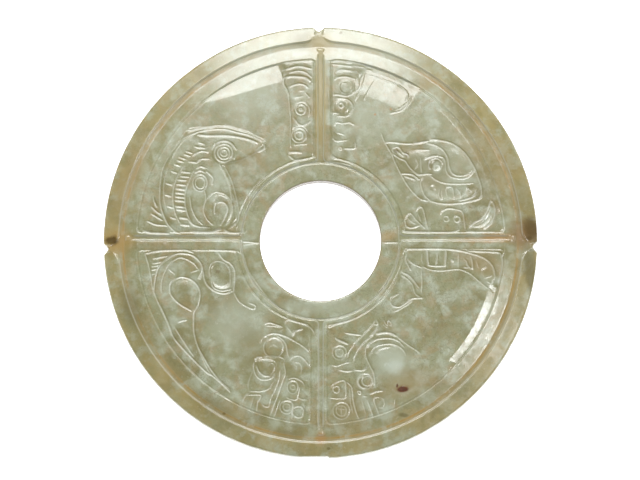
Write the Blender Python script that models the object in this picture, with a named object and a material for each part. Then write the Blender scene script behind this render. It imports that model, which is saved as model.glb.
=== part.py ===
"""Jade bi disc: a flat ring of jade with a large round hole, carved on one face.

The carved face looks up (+Z), the plain back lies at Z = 0, and the origin is the
middle of the back. The face has, from the edge inwards, a plain rim that slopes
outwards, a ring channel, four raised fields parted by a cross of channels, and a plain
collar round the hole. Each field has a sloping band, a frame groove and a panel of
carved figures. The edge has three small notches where the cross meets it.
"""
import math

import bpy
import numpy as np
from mathutils import Vector
from mathutils.geometry import delaunay_2d_cdt

# The disc, in metres
OUTER_RADIUS = 0.0650
HOLE_RADIUS = 0.0181
THICKNESS = 0.0060
BACK_CHAMFER = 0.0004
HOLE_CHAMFER = 0.0004

# Widths on the carved face, from the edge inwards
RIM_WIDTH = 0.0044
RIM_ROUND = 0.0007
RING_CHANNEL_WIDTH = 0.0020
BAND_WIDTH = 0.0032
FRAME_GROOVE_WIDTH = 0.0010
COLLAR_WIDTH = 0.0050
COLLAR_GROOVE_WIDTH = 0.0010
INNER_BAND_WIDTH = 0.0016
WALL_RUN = 0.00035

# Heights, as depths below the top of the panels
CHANNEL_DEPTH = 0.0011
RIM_CREST_DEPTH = 0.00045
RIM_EDGE_DEPTH = 0.0012
RIM_ROUND_DEPTH = 0.0008
BAND_EDGE_DEPTH = 0.0006
COLLAR_DEPTH = 0.0005
COLLAR_GROOVE_DEPTH = 0.0009
FRAME_GROOVE_DEPTH = 0.00035

# Carved lines and swellings of the panels
LINE_WIDTH = 0.0009
LINE_DEPTH = 0.00032
SWELL_HEIGHT = 0.0004
SWELL_RUN = 0.0012

# The cross of channels: the edges of the fields and the lines of their frames
NORTH_CHANNEL = (-0.00105, 0.00145)
SOUTH_CHANNEL = (-0.00085, 0.00105)
SIDE_CHANNEL = (0.00015, 0.00200)
FRAME_FROM_NORTH_CHANNEL = 0.0010
FRAME_FROM_SOUTH_CHANNEL = 0.0018
FRAME_ABOVE_SIDE_CHANNEL = 0.0009
FRAME_BELOW_SIDE_CHANNEL = 0.0026

# Notches in the edge: the angle of each in degrees, then width and depth
NOTCH_ANGLES = (90.4, 181.9, 358.8)
NOTCH_WIDTH = 0.0034
NOTCH_DEPTH = 0.0014
NOTCH_GAP = 0.0026

# Spacing of points along the long edges and along the carved lines
EDGE_STEP = 0.0042
LINE_STEP = 0.0018
CORNER_TURN = 0.45
CORNER_ROUND = 0.0015

MM = 0.001
# The carving is drawn in millimetres between these radii, and spread over the panels
DRAWN_INNER = 25.2
DRAWN_OUTER = 54.9

# Radii that follow from the widths
RIM_INNER = OUTER_RADIUS - RIM_WIDTH
FIELD_OUTER = RIM_INNER - RING_CHANNEL_WIDTH
PANEL_OUTER = FIELD_OUTER - BAND_WIDTH - FRAME_GROOVE_WIDTH / 2
COLLAR_OUTER = HOLE_RADIUS + COLLAR_WIDTH
FIELD_INNER = COLLAR_OUTER + COLLAR_GROOVE_WIDTH
PANEL_INNER = FIELD_INNER + INNER_BAND_WIDTH


def upper_left_lines():
    """Carved lines of the upper left panel: a column of masks and a crested head."""
    column = [
        [(-11.6, 51.3), (-9.0, 52.5), (-6.0, 52.9), (-3.0, 52.4)],
        [(-10.2, 46.4), (-11.3, 48.6), (-9.5, 49.7), (-6.0, 49.6), (-3.4, 48.6)],
        [(-9.2, 46.8), (-6.0, 47.7), (-4.4, 46.9)],
        [(-11.9, 51.0), (-10.4, 46.0), (-9.2, 41.0), (-8.6, 36.6)],
        [(-9.5, 27.0), (-5.6, 27.0)],
    ]
    crest = [
        [(-40.4, 34.0), (-34.0, 34.7), (-28.0, 34.4), (-22.0, 32.8), (-16.4, 29.7),
         (-18.4, 27.2), (-23.0, 24.6), (-30.0, 23.3)],
        [(-35.9, 31.2), (-31.0, 31.7), (-25.0, 31.3), (-18.0, 29.6)],
        [(-37.0, 32.9), (-44.2, 27.6), (-47.9, 19.0), (-48.0, 11.0), (-45.4, 4.9),
         (-41.6, 2.4)],
    ]
    body = [
        [(-37.4, 22.4), (-40.5, 14.6), (-40.2, 9.0), (-37.0, 5.0), (-32.6, 4.6)],
        [(-30.0, 22.6), (-27.6, 17.8), (-26.6, 12.0)],
        [(-35.0, 8.5), (-34.2, 12.6), (-31.0, 14.8), (-27.4, 12.8), (-24.5, 8.0),
         (-27.0, 4.4)],
        [(-31.8, 7.0), (-31.6, 11.0), (-30.0, 12.4), (-28.2, 11.0), (-28.0, 8.6),
         (-29.8, 5.4)],
        [(-38.9, 2.9), (-33.0, 2.8), (-29.8, 4.0)],
        [(-28.7, 3.5), (-26.0, 2.8), (-23.2, 3.4)],
    ]
    rings = [ring(-29.0, 26.6, 3.6), ring(-29.0, 26.6, 1.6), ring(-36.1, 17.6, 2.3),
             ring(-6.1, 40.4, 1.8), ring(-6.3, 32.3, 2.5)]
    teeth = rungs([(-36.0, 29.4), (-41.6, 25.0), (-43.8, 19.0), (-43.6, 13.0), (-41.0, 6.0)],
                  count=11, length=3.2)
    return column + crest + body + rings + teeth


def upper_right_lines():
    """Carved lines of the upper right panel: a column, a scroll and the great eye."""
    column = [
        [(5.0, 51.2), (7.0, 51.7), (11.4, 50.8)],
        [(4.4, 48.9), (6.4, 49.7), (10.5, 49.0)],
        [(4.0, 44.3), (7.8, 44.0), (11.4, 46.0), (13.2, 50.4)],
        [(4.9, 43.2), (7.8, 42.8), (9.8, 40.2), (8.3, 37.9), (5.0, 37.8)],
        [(4.3, 35.0), (6.5, 35.6), (10.0, 35.2), (8.4, 32.0)],
        [(3.5, 31.2), (5.0, 30.3), (7.8, 30.3)],
        [(27.4, 43.9), (25.8, 40.8), (21.3, 38.8)],
    ]
    eye = [
        [(19.7, 29.9), (27.0, 29.3), (34.0, 30.7), (39.0, 30.0), (44.2, 25.9), (47.6, 19.4),
         (48.0, 13.6), (40.4, 11.2), (34.0, 12.1), (30.6, 15.6), (30.2, 18.4)],
        [(18.3, 33.2), (19.4, 28.7), (22.9, 22.4), (25.6, 16.6), (31.4, 12.0)],
        [(31.7, 29.6), (36.4, 27.6), (37.9, 24.0), (38.8, 20.6), (41.9, 19.0), (45.2, 20.6),
         (46.2, 22.6)],
        [(39.2, 22.0), (40.8, 20.3), (43.4, 20.0)],
        [(22.1, 25.6), (25.6, 22.8), (28.6, 20.1), (32.6, 20.7)],
        [(22.4, 27.2), (25.8, 25.4)],
        [(28.4, 24.8), (31.2, 25.9), (32.2, 24.9), (34.0, 25.8), (37.4, 25.3)],
        [(33.2, 20.0), (36.6, 18.0), (41.5, 17.3), (45.8, 17.7)],
        [(31.7, 14.7), (35.0, 12.3), (42.0, 12.4), (46.0, 14.4), (46.8, 16.4)],
        [(32.8, 22.4), (33.6, 24.2), (35.6, 24.6)],
    ]
    foot = [
        [(25.7, 6.5), (26.6, 4.8), (29.2, 5.1), (31.7, 3.9)],
        [(26.9, 8.3), (29.9, 5.9)],
        [(36.2, 8.5), (39.2, 10.0), (42.4, 9.2), (43.2, 3.8)],
        [(44.6, 5.1), (48.3, 6.9), (51.2, 11.9), (52.4, 8.4), (48.8, 3.8)],
    ]
    rings = [ring(7.8, 46.4, 2.1), ring(38.1, 6.9, 0.9), ring(41.3, 6.6, 0.9),
             ring(34.0, 16.2, 0.9)]
    teeth = rungs([(36.6, 14.6), (40.0, 15.0), (43.6, 15.6)], count=4, length=2.6)
    return column + eye + foot + rings + teeth


def lower_left_lines():
    """Carved lines of the lower left panel: a long-tailed creature and a column."""
    creature = [
        [(-49.6, -15.0), (-48.6, -8.4), (-43.4, -3.9), (-38.4, -4.2), (-35.6, -7.6),
         (-34.7, -11.5), (-31.3, -15.0), (-26.4, -14.9)],
        [(-47.6, -15.2), (-46.4, -8.4), (-41.6, -4.9), (-37.0, -7.6)],
        [(-38.8, -20.8), (-43.2, -17.8), (-45.1, -14.2), (-41.4, -10.7), (-36.9, -13.2),
         (-36.1, -17.2), (-37.8, -22.4), (-36.7, -31.2), (-32.7, -38.2), (-27.0, -44.3)],
        [(-48.2, -18.8), (-44.0, -28.5), (-37.4, -35.9), (-31.8, -40.4), (-27.0, -44.9)],
        [(-30.5, -3.6), (-27.0, -6.4), (-25.7, -9.4), (-25.9, -15.2), (-23.6, -18.5),
         (-19.4, -19.8)],
        [(-49.8, -5.0), (-45.4, -4.3)],
    ]
    column = [
        [(-16.5, -24.6), (-11.6, -25.5)],
        [(-18.0, -31.6), (-16.6, -28.6), (-13.4, -27.5), (-7.4, -29.6), (-3.2, -33.0)],
        [(-18.6, -34.6), (-19.6, -37.4), (-17.0, -40.3), (-14.0, -39.2)],
        [(-10.6, -31.0), (-9.4, -36.0), (-11.4, -43.4), (-14.6, -52.2)],
        [(-12.0, -37.4), (-13.4, -44.4), (-15.2, -49.2)],
        [(-20.2, -38.0), (-21.5, -43.4), (-20.2, -44.8), (-16.4, -44.6)],
        [(-17.6, -46.0), (-19.2, -50.8)],
    ]
    rings = [ring(-29.8, -10.3, 3.7), ring(-14.0, -31.6, 3.0), ring(-7.5, -37.9, 1.6),
             ring(-8.1, -43.5, 1.9), ring(-9.9, -49.9, 2.0), ring(-6.6, -50.8, 1.5)]
    return creature + column + rings


def lower_right_lines():
    """Carved lines of the lower right panel: a toothed jaw, a boss and a column."""
    jaw = [
        [(26.0, -2.4), (37.5, -2.3), (45.9, -3.8), (50.9, -5.9), (52.4, -10.0), (52.2, -14.6)],
        [(25.7, -4.4), (27.7, -7.4), (36.2, -9.0), (42.0, -8.5), (48.5, -12.2), (52.1, -15.0)],
        [(24.4, -9.0), (28.0, -11.0)],
        [(24.6, -10.4), (27.3, -12.6), (28.8, -15.8), (30.5, -16.8)],
        [(22.2, -15.6), (20.9, -18.2), (23.9, -19.4), (27.6, -17.2)],
        [(30.4, -9.0), (30.5, -14.6)],
    ]
    boss = [
        [(17.1, -27.6), (20.9, -27.3), (26.6, -31.1), (29.7, -33.2)],
        [(15.4, -38.4), (13.7, -34.6), (14.4, -31.4), (18.4, -29.0), (23.6, -29.6)],
        [(15.7, -33.0), (18.6, -30.9), (22.6, -30.7), (25.4, -33.0)],
        [(8.1, -34.7), (10.7, -30.4), (14.9, -26.4), (16.8, -23.8)],
        [(10.2, -34.5), (13.7, -29.2), (17.7, -25.4)],
    ]
    column = [
        [(7.6, -27.3), (12.0, -27.9)],
        [(5.6, -38.3), (8.0, -38.6), (12.8, -38.4), (14.0, -37.4)],
        [(7.8, -42.0), (9.2, -45.4), (10.8, -51.0), (11.6, -53.0)],
        [(12.6, -47.6), (13.6, -51.4)],
        [(14.2, -47.6), (15.9, -52.0)],
        [(17.9, -46.4), (16.2, -47.2), (17.6, -51.2)],
        [(3.4, -43.1), (6.2, -41.5), (7.5, -44.4), (5.2, -46.7)],
        [(14.6, -45.3), (18.4, -44.4)],
    ]
    rings = [ring(5.9, -32.9, 1.9), ring(13.4, -41.9, 2.4), ring(6.2, -50.5, 2.7)]
    teeth = rungs([(30.6, -5.2), (37.6, -5.2), (45.0, -6.6)], count=6, length=4.4)
    return jaw + boss + column + rings + teeth


def swellings():
    """Outlines, in drawn millimetres, of the forms that stand above the panels."""
    return [
        smooth([(-39.6, 33.6), (-30.0, 34.2), (-21.0, 32.0), (-17.2, 29.6), (-24.0, 24.6),
                (-30.0, 22.8), (-27.4, 15.0), (-25.4, 8.0), (-28.6, 4.0), (-37.0, 4.2),
                (-45.4, 6.6), (-47.4, 14.0), (-45.6, 24.0)], closed=True),
        smooth([(13.2, 49.4), (18.0, 48.4), (23.4, 46.6), (26.0, 43.8), (24.4, 41.4),
                (20.0, 39.8), (13.0, 38.6), (10.8, 43.4)], closed=True),
        smooth([(23.0, 26.8), (30.0, 28.8), (38.0, 29.4), (43.2, 26.2), (46.6, 19.6),
                (47.2, 14.4), (40.4, 12.0), (33.6, 13.0), (30.6, 17.6), (26.4, 21.4)],
               closed=True),
        smooth([(-43.0, -17.0), (-44.4, -13.6), (-41.0, -11.4), (-37.4, -13.8), (-37.2, -18.0),
                (-39.0, -20.0)], closed=True),
        ring(-29.8, -10.3, 3.9),
        ring(20.9, -35.4, 5.0),
        ring(-14.0, -31.6, 3.2),
    ]


def smooth(points, closed=False, step=LINE_STEP / MM):
    """Points every step or so along a Catmull-Rom curve through the given points.

    Between points b and c, with a before b and d after c, the curve at t is
    b + t (c - a) / 2 + t^2 (2 a - 5 b + 4 c - d) / 2 + t^3 (3 b - a - 3 c + d) / 2.
    """
    knots = np.array(points, float)
    if closed:
        knots = np.vstack([knots[-1:], knots, knots[:2]])
    else:
        before, after = 2 * knots[0] - knots[1], 2 * knots[-1] - knots[-2]
        knots = np.vstack([before, knots, after])
    t = np.linspace(0.0, 1.0, 24, endpoint=False)[:, None]
    pieces = []
    for a, b, c, d in zip(knots, knots[1:], knots[2:], knots[3:]):
        pieces.append(b + t * (c - a) / 2 + t ** 2 * (2 * a - 5 * b + 4 * c - d) / 2
                      + t ** 3 * (3 * b - a - 3 * c + d) / 2)
    dense = np.vstack(pieces + [knots[-2:-1]])
    return even(dense, step)


def even(path, step, turn=None):
    """Points about a step apart along a path, its two ends included.

    With a turn, in radians, they come closer in the bends: each counts a length of one
    step or a bend of one turn as one share, and the points are at equal shares.
    """
    along = np.diff(path, axis=0)
    share = np.linalg.norm(along, axis=1) / step
    if turn:
        heading = np.unwrap(np.arctan2(along[:, 1], along[:, 0]))
        share += np.abs(np.gradient(heading)) / turn
    total = np.concatenate([[0.0], np.cumsum(share)])
    stations = np.linspace(0.0, total[-1], max(2, round(total[-1]) + 1))
    return np.column_stack([np.interp(stations, total, path[:, k]) for k in (0, 1)])


def ring(x, y, radius):
    """A closed circle of drawn millimetres, its first point repeated at the end."""
    sides = max(7, round(2 * math.pi * radius / (LINE_STEP / MM)))
    turn = np.linspace(0.0, 2 * math.pi, sides + 1)
    return np.column_stack([x + radius * np.cos(turn), y + radius * np.sin(turn)])


def rungs(spine, count, length):
    """Short lines across a spine, evenly spaced along it, as teeth or barbs."""
    path = smooth(spine, step=0.5)
    middles = even(path, np.linalg.norm(np.diff(path, axis=0), axis=1).sum() / (count - 1))
    along = np.gradient(middles, axis=0)
    across = np.column_stack([-along[:, 1], along[:, 0]])
    across *= 0.5 * length / np.linalg.norm(across, axis=1)[:, None]
    return [np.array([m - a, m, m + a]) for m, a in zip(middles, across)]


def placed(path):
    """Drawn millimetres brought to the disc: radii are spread over the panels' width."""
    path = np.asarray(path, float)
    radius = np.hypot(path[:, 0], path[:, 1])
    share = (radius - DRAWN_INNER) / (DRAWN_OUTER - DRAWN_INNER)
    real = PANEL_INNER + share * (PANEL_OUTER - PANEL_INNER)
    return path * (real / radius)[:, None]


def carved_lines():
    """Every carved line of the four panels, as evenly spaced paths in metres."""
    drawn = upper_left_lines() + upper_right_lines() + lower_left_lines() + lower_right_lines()
    return [placed(line if isinstance(line, np.ndarray) else smooth(line)) for line in drawn]


def distance_to_paths(points, paths):
    """Distance from each point to the nearest segment of any path."""
    nearest = np.full(len(points), np.inf)
    for path in paths:
        start, step = path[:-1], np.diff(path, axis=0)
        length2 = np.maximum((step ** 2).sum(axis=1), 1e-18)
        offset = points[:, None, :] - start[None]
        share = np.clip((offset * step[None]).sum(axis=2) / length2, 0.0, 1.0)
        gap = np.linalg.norm(offset - share[:, :, None] * step[None], axis=2)
        nearest = np.minimum(nearest, gap.min(axis=1))
    return nearest


def inside(points, outline):
    """True for each point that an odd number of the outline's edges passes above."""
    x, y = points[:, 0, None], points[:, 1, None]
    x1, y1 = outline[:-1].T
    x2, y2 = outline[1:].T
    spans = (x1 > x) != (x2 > x)
    with np.errstate(divide="ignore", invalid="ignore"):
        above = y < y1 + (x - x1) / (x2 - x1) * (y2 - y1)
    return (spans & above).sum(axis=1) % 2 == 1


def soft_min(first, second, blend=CORNER_ROUND):
    """The smaller of two distances, rounded over where they are nearly equal."""
    share = np.clip(0.5 + 0.5 * (second - first) / blend, 0.0, 1.0)
    return second + (first - second) * share - blend * share * (1.0 - share)


# Each field: which way it lies, then its edges and its frame along the two channels
FIELDS = (
    (-1, 1, -NORTH_CHANNEL[0], SIDE_CHANNEL[1], FRAME_FROM_NORTH_CHANNEL, FRAME_ABOVE_SIDE_CHANNEL),
    (1, 1, NORTH_CHANNEL[1], SIDE_CHANNEL[1], FRAME_FROM_SOUTH_CHANNEL, FRAME_ABOVE_SIDE_CHANNEL),
    (-1, -1, -SOUTH_CHANNEL[0], -SIDE_CHANNEL[0], FRAME_FROM_SOUTH_CHANNEL, FRAME_BELOW_SIDE_CHANNEL),
    (1, -1, SOUTH_CHANNEL[1], -SIDE_CHANNEL[0], FRAME_FROM_NORTH_CHANNEL, FRAME_BELOW_SIDE_CHANNEL),
)


def sector_depth(points, field, outer, inner, framed):
    """How far each point lies inside a field's edge, or inside its frame when framed."""
    side_x, side_y, edge_x, edge_y, frame_x, frame_y = field
    if framed:
        edge_x, edge_y = edge_x + frame_x, edge_y + frame_y
    radius = np.hypot(points[:, 0], points[:, 1])
    across = soft_min(side_x * points[:, 0] - edge_x, side_y * points[:, 1] - edge_y)
    return soft_min(soft_min(outer - radius, radius - inner), across)


def contour(field, outer, inner, framed, level):
    """A closed line at which a field's depth is level, found along rays from its middle."""
    middle = np.array([field[0], field[1]]) * 0.5 * (outer + inner) * math.sqrt(0.5)
    turn = np.linspace(0.0, 2 * math.pi, 721)
    rays = np.column_stack([np.cos(turn), np.sin(turn)])
    near, far = np.zeros(len(turn)), np.full(len(turn), outer)
    for _ in range(40):
        reach = 0.5 * (near + far)
        deep = sector_depth(middle + rays * reach[:, None], field, outer, inner, framed) > level
        near, far = np.where(deep, reach, near), np.where(deep, far, reach)
    return even(middle + rays * near[:, None], EDGE_STEP, CORNER_TURN)


def edge_radius(angle):
    """Radius of the disc's edge at each angle: a circle with a rounded V at each notch."""
    radius = np.full_like(angle, OUTER_RADIUS)
    for degrees in NOTCH_ANGLES:
        turned = np.angle(np.exp(1j * (angle - math.radians(degrees))))
        share = np.clip(1.0 - np.abs(turned) * OUTER_RADIUS / (NOTCH_WIDTH / 2), 0.0, 1.0)
        radius -= NOTCH_DEPTH * share * (1.5 - 0.5 * share)
    return radius


def edge_angles():
    """Angles of the points round the edge: even steps, and five more at each notch."""
    steps = round(2 * math.pi * OUTER_RADIUS / EDGE_STEP)
    even_turn = np.arange(steps) * 2 * math.pi / steps
    half = NOTCH_WIDTH / 2 / OUTER_RADIUS
    for degrees in NOTCH_ANGLES:
        turned = np.angle(np.exp(1j * (even_turn - math.radians(degrees))))
        even_turn = even_turn[np.abs(turned) > 1.3 * half]
    extra = [math.radians(degrees) + half * share
             for degrees in NOTCH_ANGLES for share in (-1.0, -0.5, 0.0, 0.5, 1.0)]
    return np.sort(np.concatenate([even_turn, np.mod(extra, 2 * math.pi)]))


def loop_at(radius, angles):
    """A closed loop at one radius, or at a radius for each angle."""
    return np.column_stack([radius * np.cos(angles), radius * np.sin(angles)])


def gap_paths():
    """The middle lines of the gaps that lead from the ring channel to the notches."""
    inner = RIM_INNER - RING_CHANNEL_WIDTH / 2
    paths = []
    for degrees in NOTCH_ANGLES:
        way = np.array([math.cos(math.radians(degrees)), math.sin(math.radians(degrees))])
        paths.append(np.array([way * inner, way * (OUTER_RADIUS + NOTCH_DEPTH)]))
    return paths


def ramp(distance, run):
    """0 below zero, 1 beyond run, and a straight slope between."""
    return np.clip(distance / run, 0.0, 1.0)


def heights(points, lines):
    """Height of the carved face at each point.

    The channel floor is the base. The rim, the collar and the fields rise from it by a
    wall of WALL_RUN, the rim and the bands slope outwards, and grooves and swellings are
    taken from or added to the panels by their distance.
    """
    radius = np.hypot(points[:, 0], points[:, 1])
    angle = np.arctan2(points[:, 1], points[:, 0])
    floor = THICKNESS - CHANNEL_DEPTH

    slope = (RIM_EDGE_DEPTH - RIM_CREST_DEPTH) * (radius - RIM_INNER) / (RIM_WIDTH - RIM_ROUND)
    rim_top = THICKNESS - RIM_CREST_DEPTH - slope
    gap = distance_to_paths(points, gap_paths()) - NOTCH_GAP / 2
    rim_share = np.minimum(ramp(radius - RIM_INNER + WALL_RUN, WALL_RUN), ramp(gap, WALL_RUN))
    z = floor + (rim_top - floor) * rim_share
    rounding = ramp(radius - (edge_radius(angle) - RIM_ROUND), RIM_ROUND)
    z -= RIM_ROUND_DEPTH * rounding ** 2

    collar_top = THICKNESS - COLLAR_DEPTH
    z = np.where(radius < COLLAR_OUTER + COLLAR_GROOVE_WIDTH / 2, collar_top, z)
    z -= HOLE_CHAMFER * ramp(HOLE_RADIUS + HOLE_CHAMFER - radius, HOLE_CHAMFER)

    line_cut = LINE_DEPTH * ramp(LINE_WIDTH / 2 - distance_to_paths(points, lines), LINE_WIDTH / 2)
    swell = np.zeros(len(points))
    for outline in swellings():
        outline = placed(outline)
        depth = distance_to_paths(points, [outline])
        rise = np.sin(0.5 * math.pi * ramp(depth, SWELL_RUN))
        swell = np.maximum(swell, np.where(inside(points, outline), SWELL_HEIGHT * rise, 0.0))

    for field in FIELDS:
        block = sector_depth(points, field, FIELD_OUTER, FIELD_INNER, False)
        panel = sector_depth(points, field, PANEL_OUTER, PANEL_INNER, True)
        band_drop = BAND_EDGE_DEPTH * ramp(radius - PANEL_OUTER, FIELD_OUTER - PANEL_OUTER)
        top = THICKNESS - band_drop
        top -= FRAME_GROOVE_DEPTH * ramp(FRAME_GROOVE_WIDTH / 2 - np.abs(panel), FRAME_GROOVE_WIDTH / 2)
        top = np.where(panel > 0, top - line_cut + swell, top)
        share = ramp(block + WALL_RUN, WALL_RUN)
        z = np.where(block > -WALL_RUN, z + (top - z) * share, z)

    groove = np.abs(radius - (COLLAR_OUTER + COLLAR_GROOVE_WIDTH / 2))
    cut = COLLAR_GROOVE_DEPTH * ramp(COLLAR_GROOVE_WIDTH / 2 - groove, COLLAR_GROOVE_WIDTH / 2)
    return np.where(cut > 0, np.minimum(z, collar_top) - 0.5 * cut, z)


def plan_of_face(lines):
    """Points and edges, seen from above, from which the carved face is triangulated.

    The edges are the rings, the outlines and frames of the fields, the outlines of the
    swellings and the middles of the carved lines. Beside each carved line lie the points
    of its two lips, left out where they would fall in another line.
    """
    angles = edge_angles()
    around = np.arange(round(2 * math.pi * OUTER_RADIUS / EDGE_STEP)) * 2 * math.pi
    around /= len(around)
    inner_turn = around[::2]
    loops = [
        loop_at(edge_radius(angles), angles),
        loop_at(edge_radius(angles) - RIM_ROUND, angles),
        loop_at(RIM_INNER, around),
        loop_at(RIM_INNER - WALL_RUN, around),
        loop_at(HOLE_RADIUS, inner_turn),
        loop_at(HOLE_RADIUS + HOLE_CHAMFER, inner_turn),
        loop_at(COLLAR_OUTER, inner_turn),
        loop_at(COLLAR_OUTER + COLLAR_GROOVE_WIDTH / 2, inner_turn),
    ]
    loops = [np.vstack([loop, loop[:1]]) for loop in loops]
    for field in FIELDS:
        for level in (-WALL_RUN, 0.0):
            loops.append(contour(field, FIELD_OUTER, FIELD_INNER, False, level))
        for level in (-FRAME_GROOVE_WIDTH / 2, 0.0, FRAME_GROOVE_WIDTH / 2):
            loops.append(contour(field, PANEL_OUTER, PANEL_INNER, True, level))
    for path in gap_paths():
        along = np.diff(path, axis=0)[0]
        across = np.array([-along[1], along[0]]) / np.linalg.norm(along)
        for side in (-NOTCH_GAP / 2 - WALL_RUN, -NOTCH_GAP / 2, NOTCH_GAP / 2, NOTCH_GAP / 2 + WALL_RUN):
            first = path[0] + across * side
            last = first + along / np.linalg.norm(along) * (RIM_WIDTH - RIM_ROUND)
            loops.append(even(np.array([first, last]), LINE_STEP))

    free = []
    for outline in swellings():
        outline = placed(outline)
        for share in (0.4, 1.0):
            free.append(shrunk(outline, share * SWELL_RUN))
        free.append(outline)
    lips = []
    for line in lines:
        along = np.gradient(line, axis=0)
        across = np.column_stack([-along[:, 1], along[:, 0]])
        across /= np.linalg.norm(across, axis=1)[:, None]
        lips += [line + across * LINE_WIDTH / 2, line - across * LINE_WIDTH / 2]
        if not np.allclose(line[0], line[-1]):
            ahead = along[[0, -1]] / np.linalg.norm(along[[0, -1]], axis=1)[:, None]
            lips.append(line[[0, -1]] + ahead * [[-LINE_WIDTH / 2], [LINE_WIDTH / 2]])
    loose = np.vstack(free + lips)
    loose = loose[distance_to_paths(loose, lines) > 0.42 * LINE_WIDTH]
    loose = loose[distance_to_paths(loose, loops) > 0.5 * LINE_WIDTH]
    return loops + lines, loose


def shrunk(outline, amount):
    """A closed outline moved inwards by an amount, each point along its own normal."""
    along = np.roll(outline[:-1], -1, axis=0) - np.roll(outline[:-1], 1, axis=0)
    across = np.column_stack([-along[:, 1], along[:, 0]])
    across /= np.linalg.norm(across, axis=1)[:, None]
    moved = outline[:-1] + across * amount
    middle = outline.mean(axis=0)
    if np.linalg.norm(moved - middle, axis=1).sum() > np.linalg.norm(outline[:-1] - middle, axis=1).sum():
        moved = outline[:-1] - across * amount
    return moved


def triangulate(paths, loose, gap):
    """Triangles between the given paths and loose points, with near points merged.

    Works in millimetres, because the triangulation's own tolerances suit larger numbers.
    """
    points, edges = [], []
    for path in paths:
        first = len(points)
        closed = np.allclose(path[0], path[-1])
        body = path[:-1] if closed else path
        points += [Vector(p) for p in body / MM]
        edges += [(first + i, first + i + 1) for i in range(len(body) - 1)]
        if closed:
            edges.append((first + len(body) - 1, first))
    kept = thinned(loose, gap)
    points += [Vector(p) for p in kept / MM]
    verts, _, faces, *_ = delaunay_2d_cdt(points, edges, [], 0, gap / MM / 4, False)
    return np.array([tuple(v) for v in verts]) * MM, np.array(faces)


def thinned(points, gap):
    """The points, without any that lies closer than gap to one kept before it."""
    kept = []
    for point in points:
        if not kept or np.hypot(*(np.array(kept) - point).T).min() > gap:
            kept.append(point)
    return np.array(kept)


def build_disc():
    """The disc as one closed mesh: carved face, edge, hole wall and flat back."""
    lines = carved_lines()
    paths, loose = plan_of_face(lines)
    flat, faces = triangulate(paths, loose, 0.45 * LINE_WIDTH)
    middles = flat[faces].mean(axis=1)
    radius = np.hypot(middles[:, 0], middles[:, 1])
    angle = np.arctan2(middles[:, 1], middles[:, 0])
    outline = loop_at(edge_radius(edge_angles()), edge_angles())
    outline = np.vstack([outline, outline[:1]])
    hole_limit = HOLE_RADIUS * math.cos(2 * EDGE_STEP / OUTER_RADIUS)
    keep = inside(middles, outline) & (radius > hole_limit)
    faces = faces[keep]

    used = np.unique(faces)
    renumber = np.zeros(len(flat), int)
    renumber[used] = np.arange(len(used))
    flat, faces = flat[used], renumber[faces]
    top = np.column_stack([flat, heights(flat, lines)])

    outer_loop, hole_loop = boundary_loops(faces, top)
    return close_underneath(top, faces, outer_loop, hole_loop)


def boundary_loops(faces, verts):
    """The outer and the hole's loop of vertex numbers, each in the faces' own order."""
    edges = {}
    for face in faces:
        for a, b in zip(face, np.roll(face, -1)):
            edges[(int(a), int(b))] = True
    following = {a: b for a, b in edges if (b, a) not in edges}
    loops = []
    while following:
        start, now = following.popitem()
        loop = [start]
        while now != start:
            loop.append(now)
            now = following.pop(now)
        loops.append(loop)
    loops.sort(key=lambda loop: -np.hypot(verts[loop, 0], verts[loop, 1]).max())
    return loops[0], loops[1]


def close_underneath(top, faces, outer_loop, hole_loop):
    """Adds the walls below both loops, with the back's chamfers, and the flat back."""
    verts = [tuple(v) for v in top]
    quads = []
    back_loops = []
    for loop, way in ((outer_loop, -1.0), (hole_loop, 1.0)):
        rim = top[loop][:, :2]
        scale = 1.0 + way * BACK_CHAMFER / np.hypot(rim[:, 0], rim[:, 1])
        rows = [loop]
        for shape, z in ((rim, BACK_CHAMFER), (rim * scale[:, None], 0.0)):
            rows.append(list(range(len(verts), len(verts) + len(loop))))
            verts += [(x, y, z) for x, y in shape]
        for above, below in zip(rows, rows[1:]):
            for i in range(len(loop)):
                j = (i + 1) % len(loop)
                quads.append((above[j], above[i], below[i], below[j]))
        back_loops.append(rows[-1])
    points = [Vector(verts[i][:2]) / MM for loop in back_loops for i in loop]
    numbers = [i for loop in back_loops for i in loop]
    first = len(back_loops[0])
    edges = [(i, (i + 1) % first) for i in range(first)]
    edges += [(first + i, first + (i + 1) % len(back_loops[1])) for i in range(len(back_loops[1]))]
    flat, _, back, origin, *_ = delaunay_2d_cdt(points, edges, [], 0, 1e-4, True)
    hole = np.array([tuple(points[first + i]) for i in range(len(back_loops[1]))])
    hole = np.vstack([hole, hole[:1]])
    edge = np.array([tuple(points[i]) for i in range(first)])
    edge = np.vstack([edge, edge[:1]])
    middles = np.array([[sum(flat[i][k] for i in face) / 3 for k in (0, 1)] for face in back])
    keep = inside(middles, edge) & ~inside(middles, hole)
    back_faces = [tuple(numbers[origin[i][0]] for i in reversed(face))
                  for face, kept in zip(back, keep) if kept]
    return verts, [tuple(int(i) for i in face) for face in faces] + quads + back_faces


def jade_material():
    """Polished celadon jade, as the disc's own colour."""
    material = bpy.data.materials.new("celadon_jade")
    material.use_nodes = True
    shader = material.node_tree.nodes["Principled BSDF"]
    shader.inputs["Base Color"].default_value = (0.36, 0.38, 0.27, 1.0)
    shader.inputs["Roughness"].default_value = 0.32
    shader.inputs["Metallic"].default_value = 0.0
    return material


def main():
    """Clears the scene and makes the one piece."""
    for old in list(bpy.data.objects):
        bpy.data.objects.remove(old)
    verts, faces = build_disc()
    mesh = bpy.data.meshes.new("jade_disc")
    mesh.from_pydata(verts, [], faces)
    mesh.validate()
    disc = bpy.data.objects.new("jade_disc", mesh)
    bpy.context.scene.collection.objects.link(disc)
    disc.data.materials.append(jade_material())


main()
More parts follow.
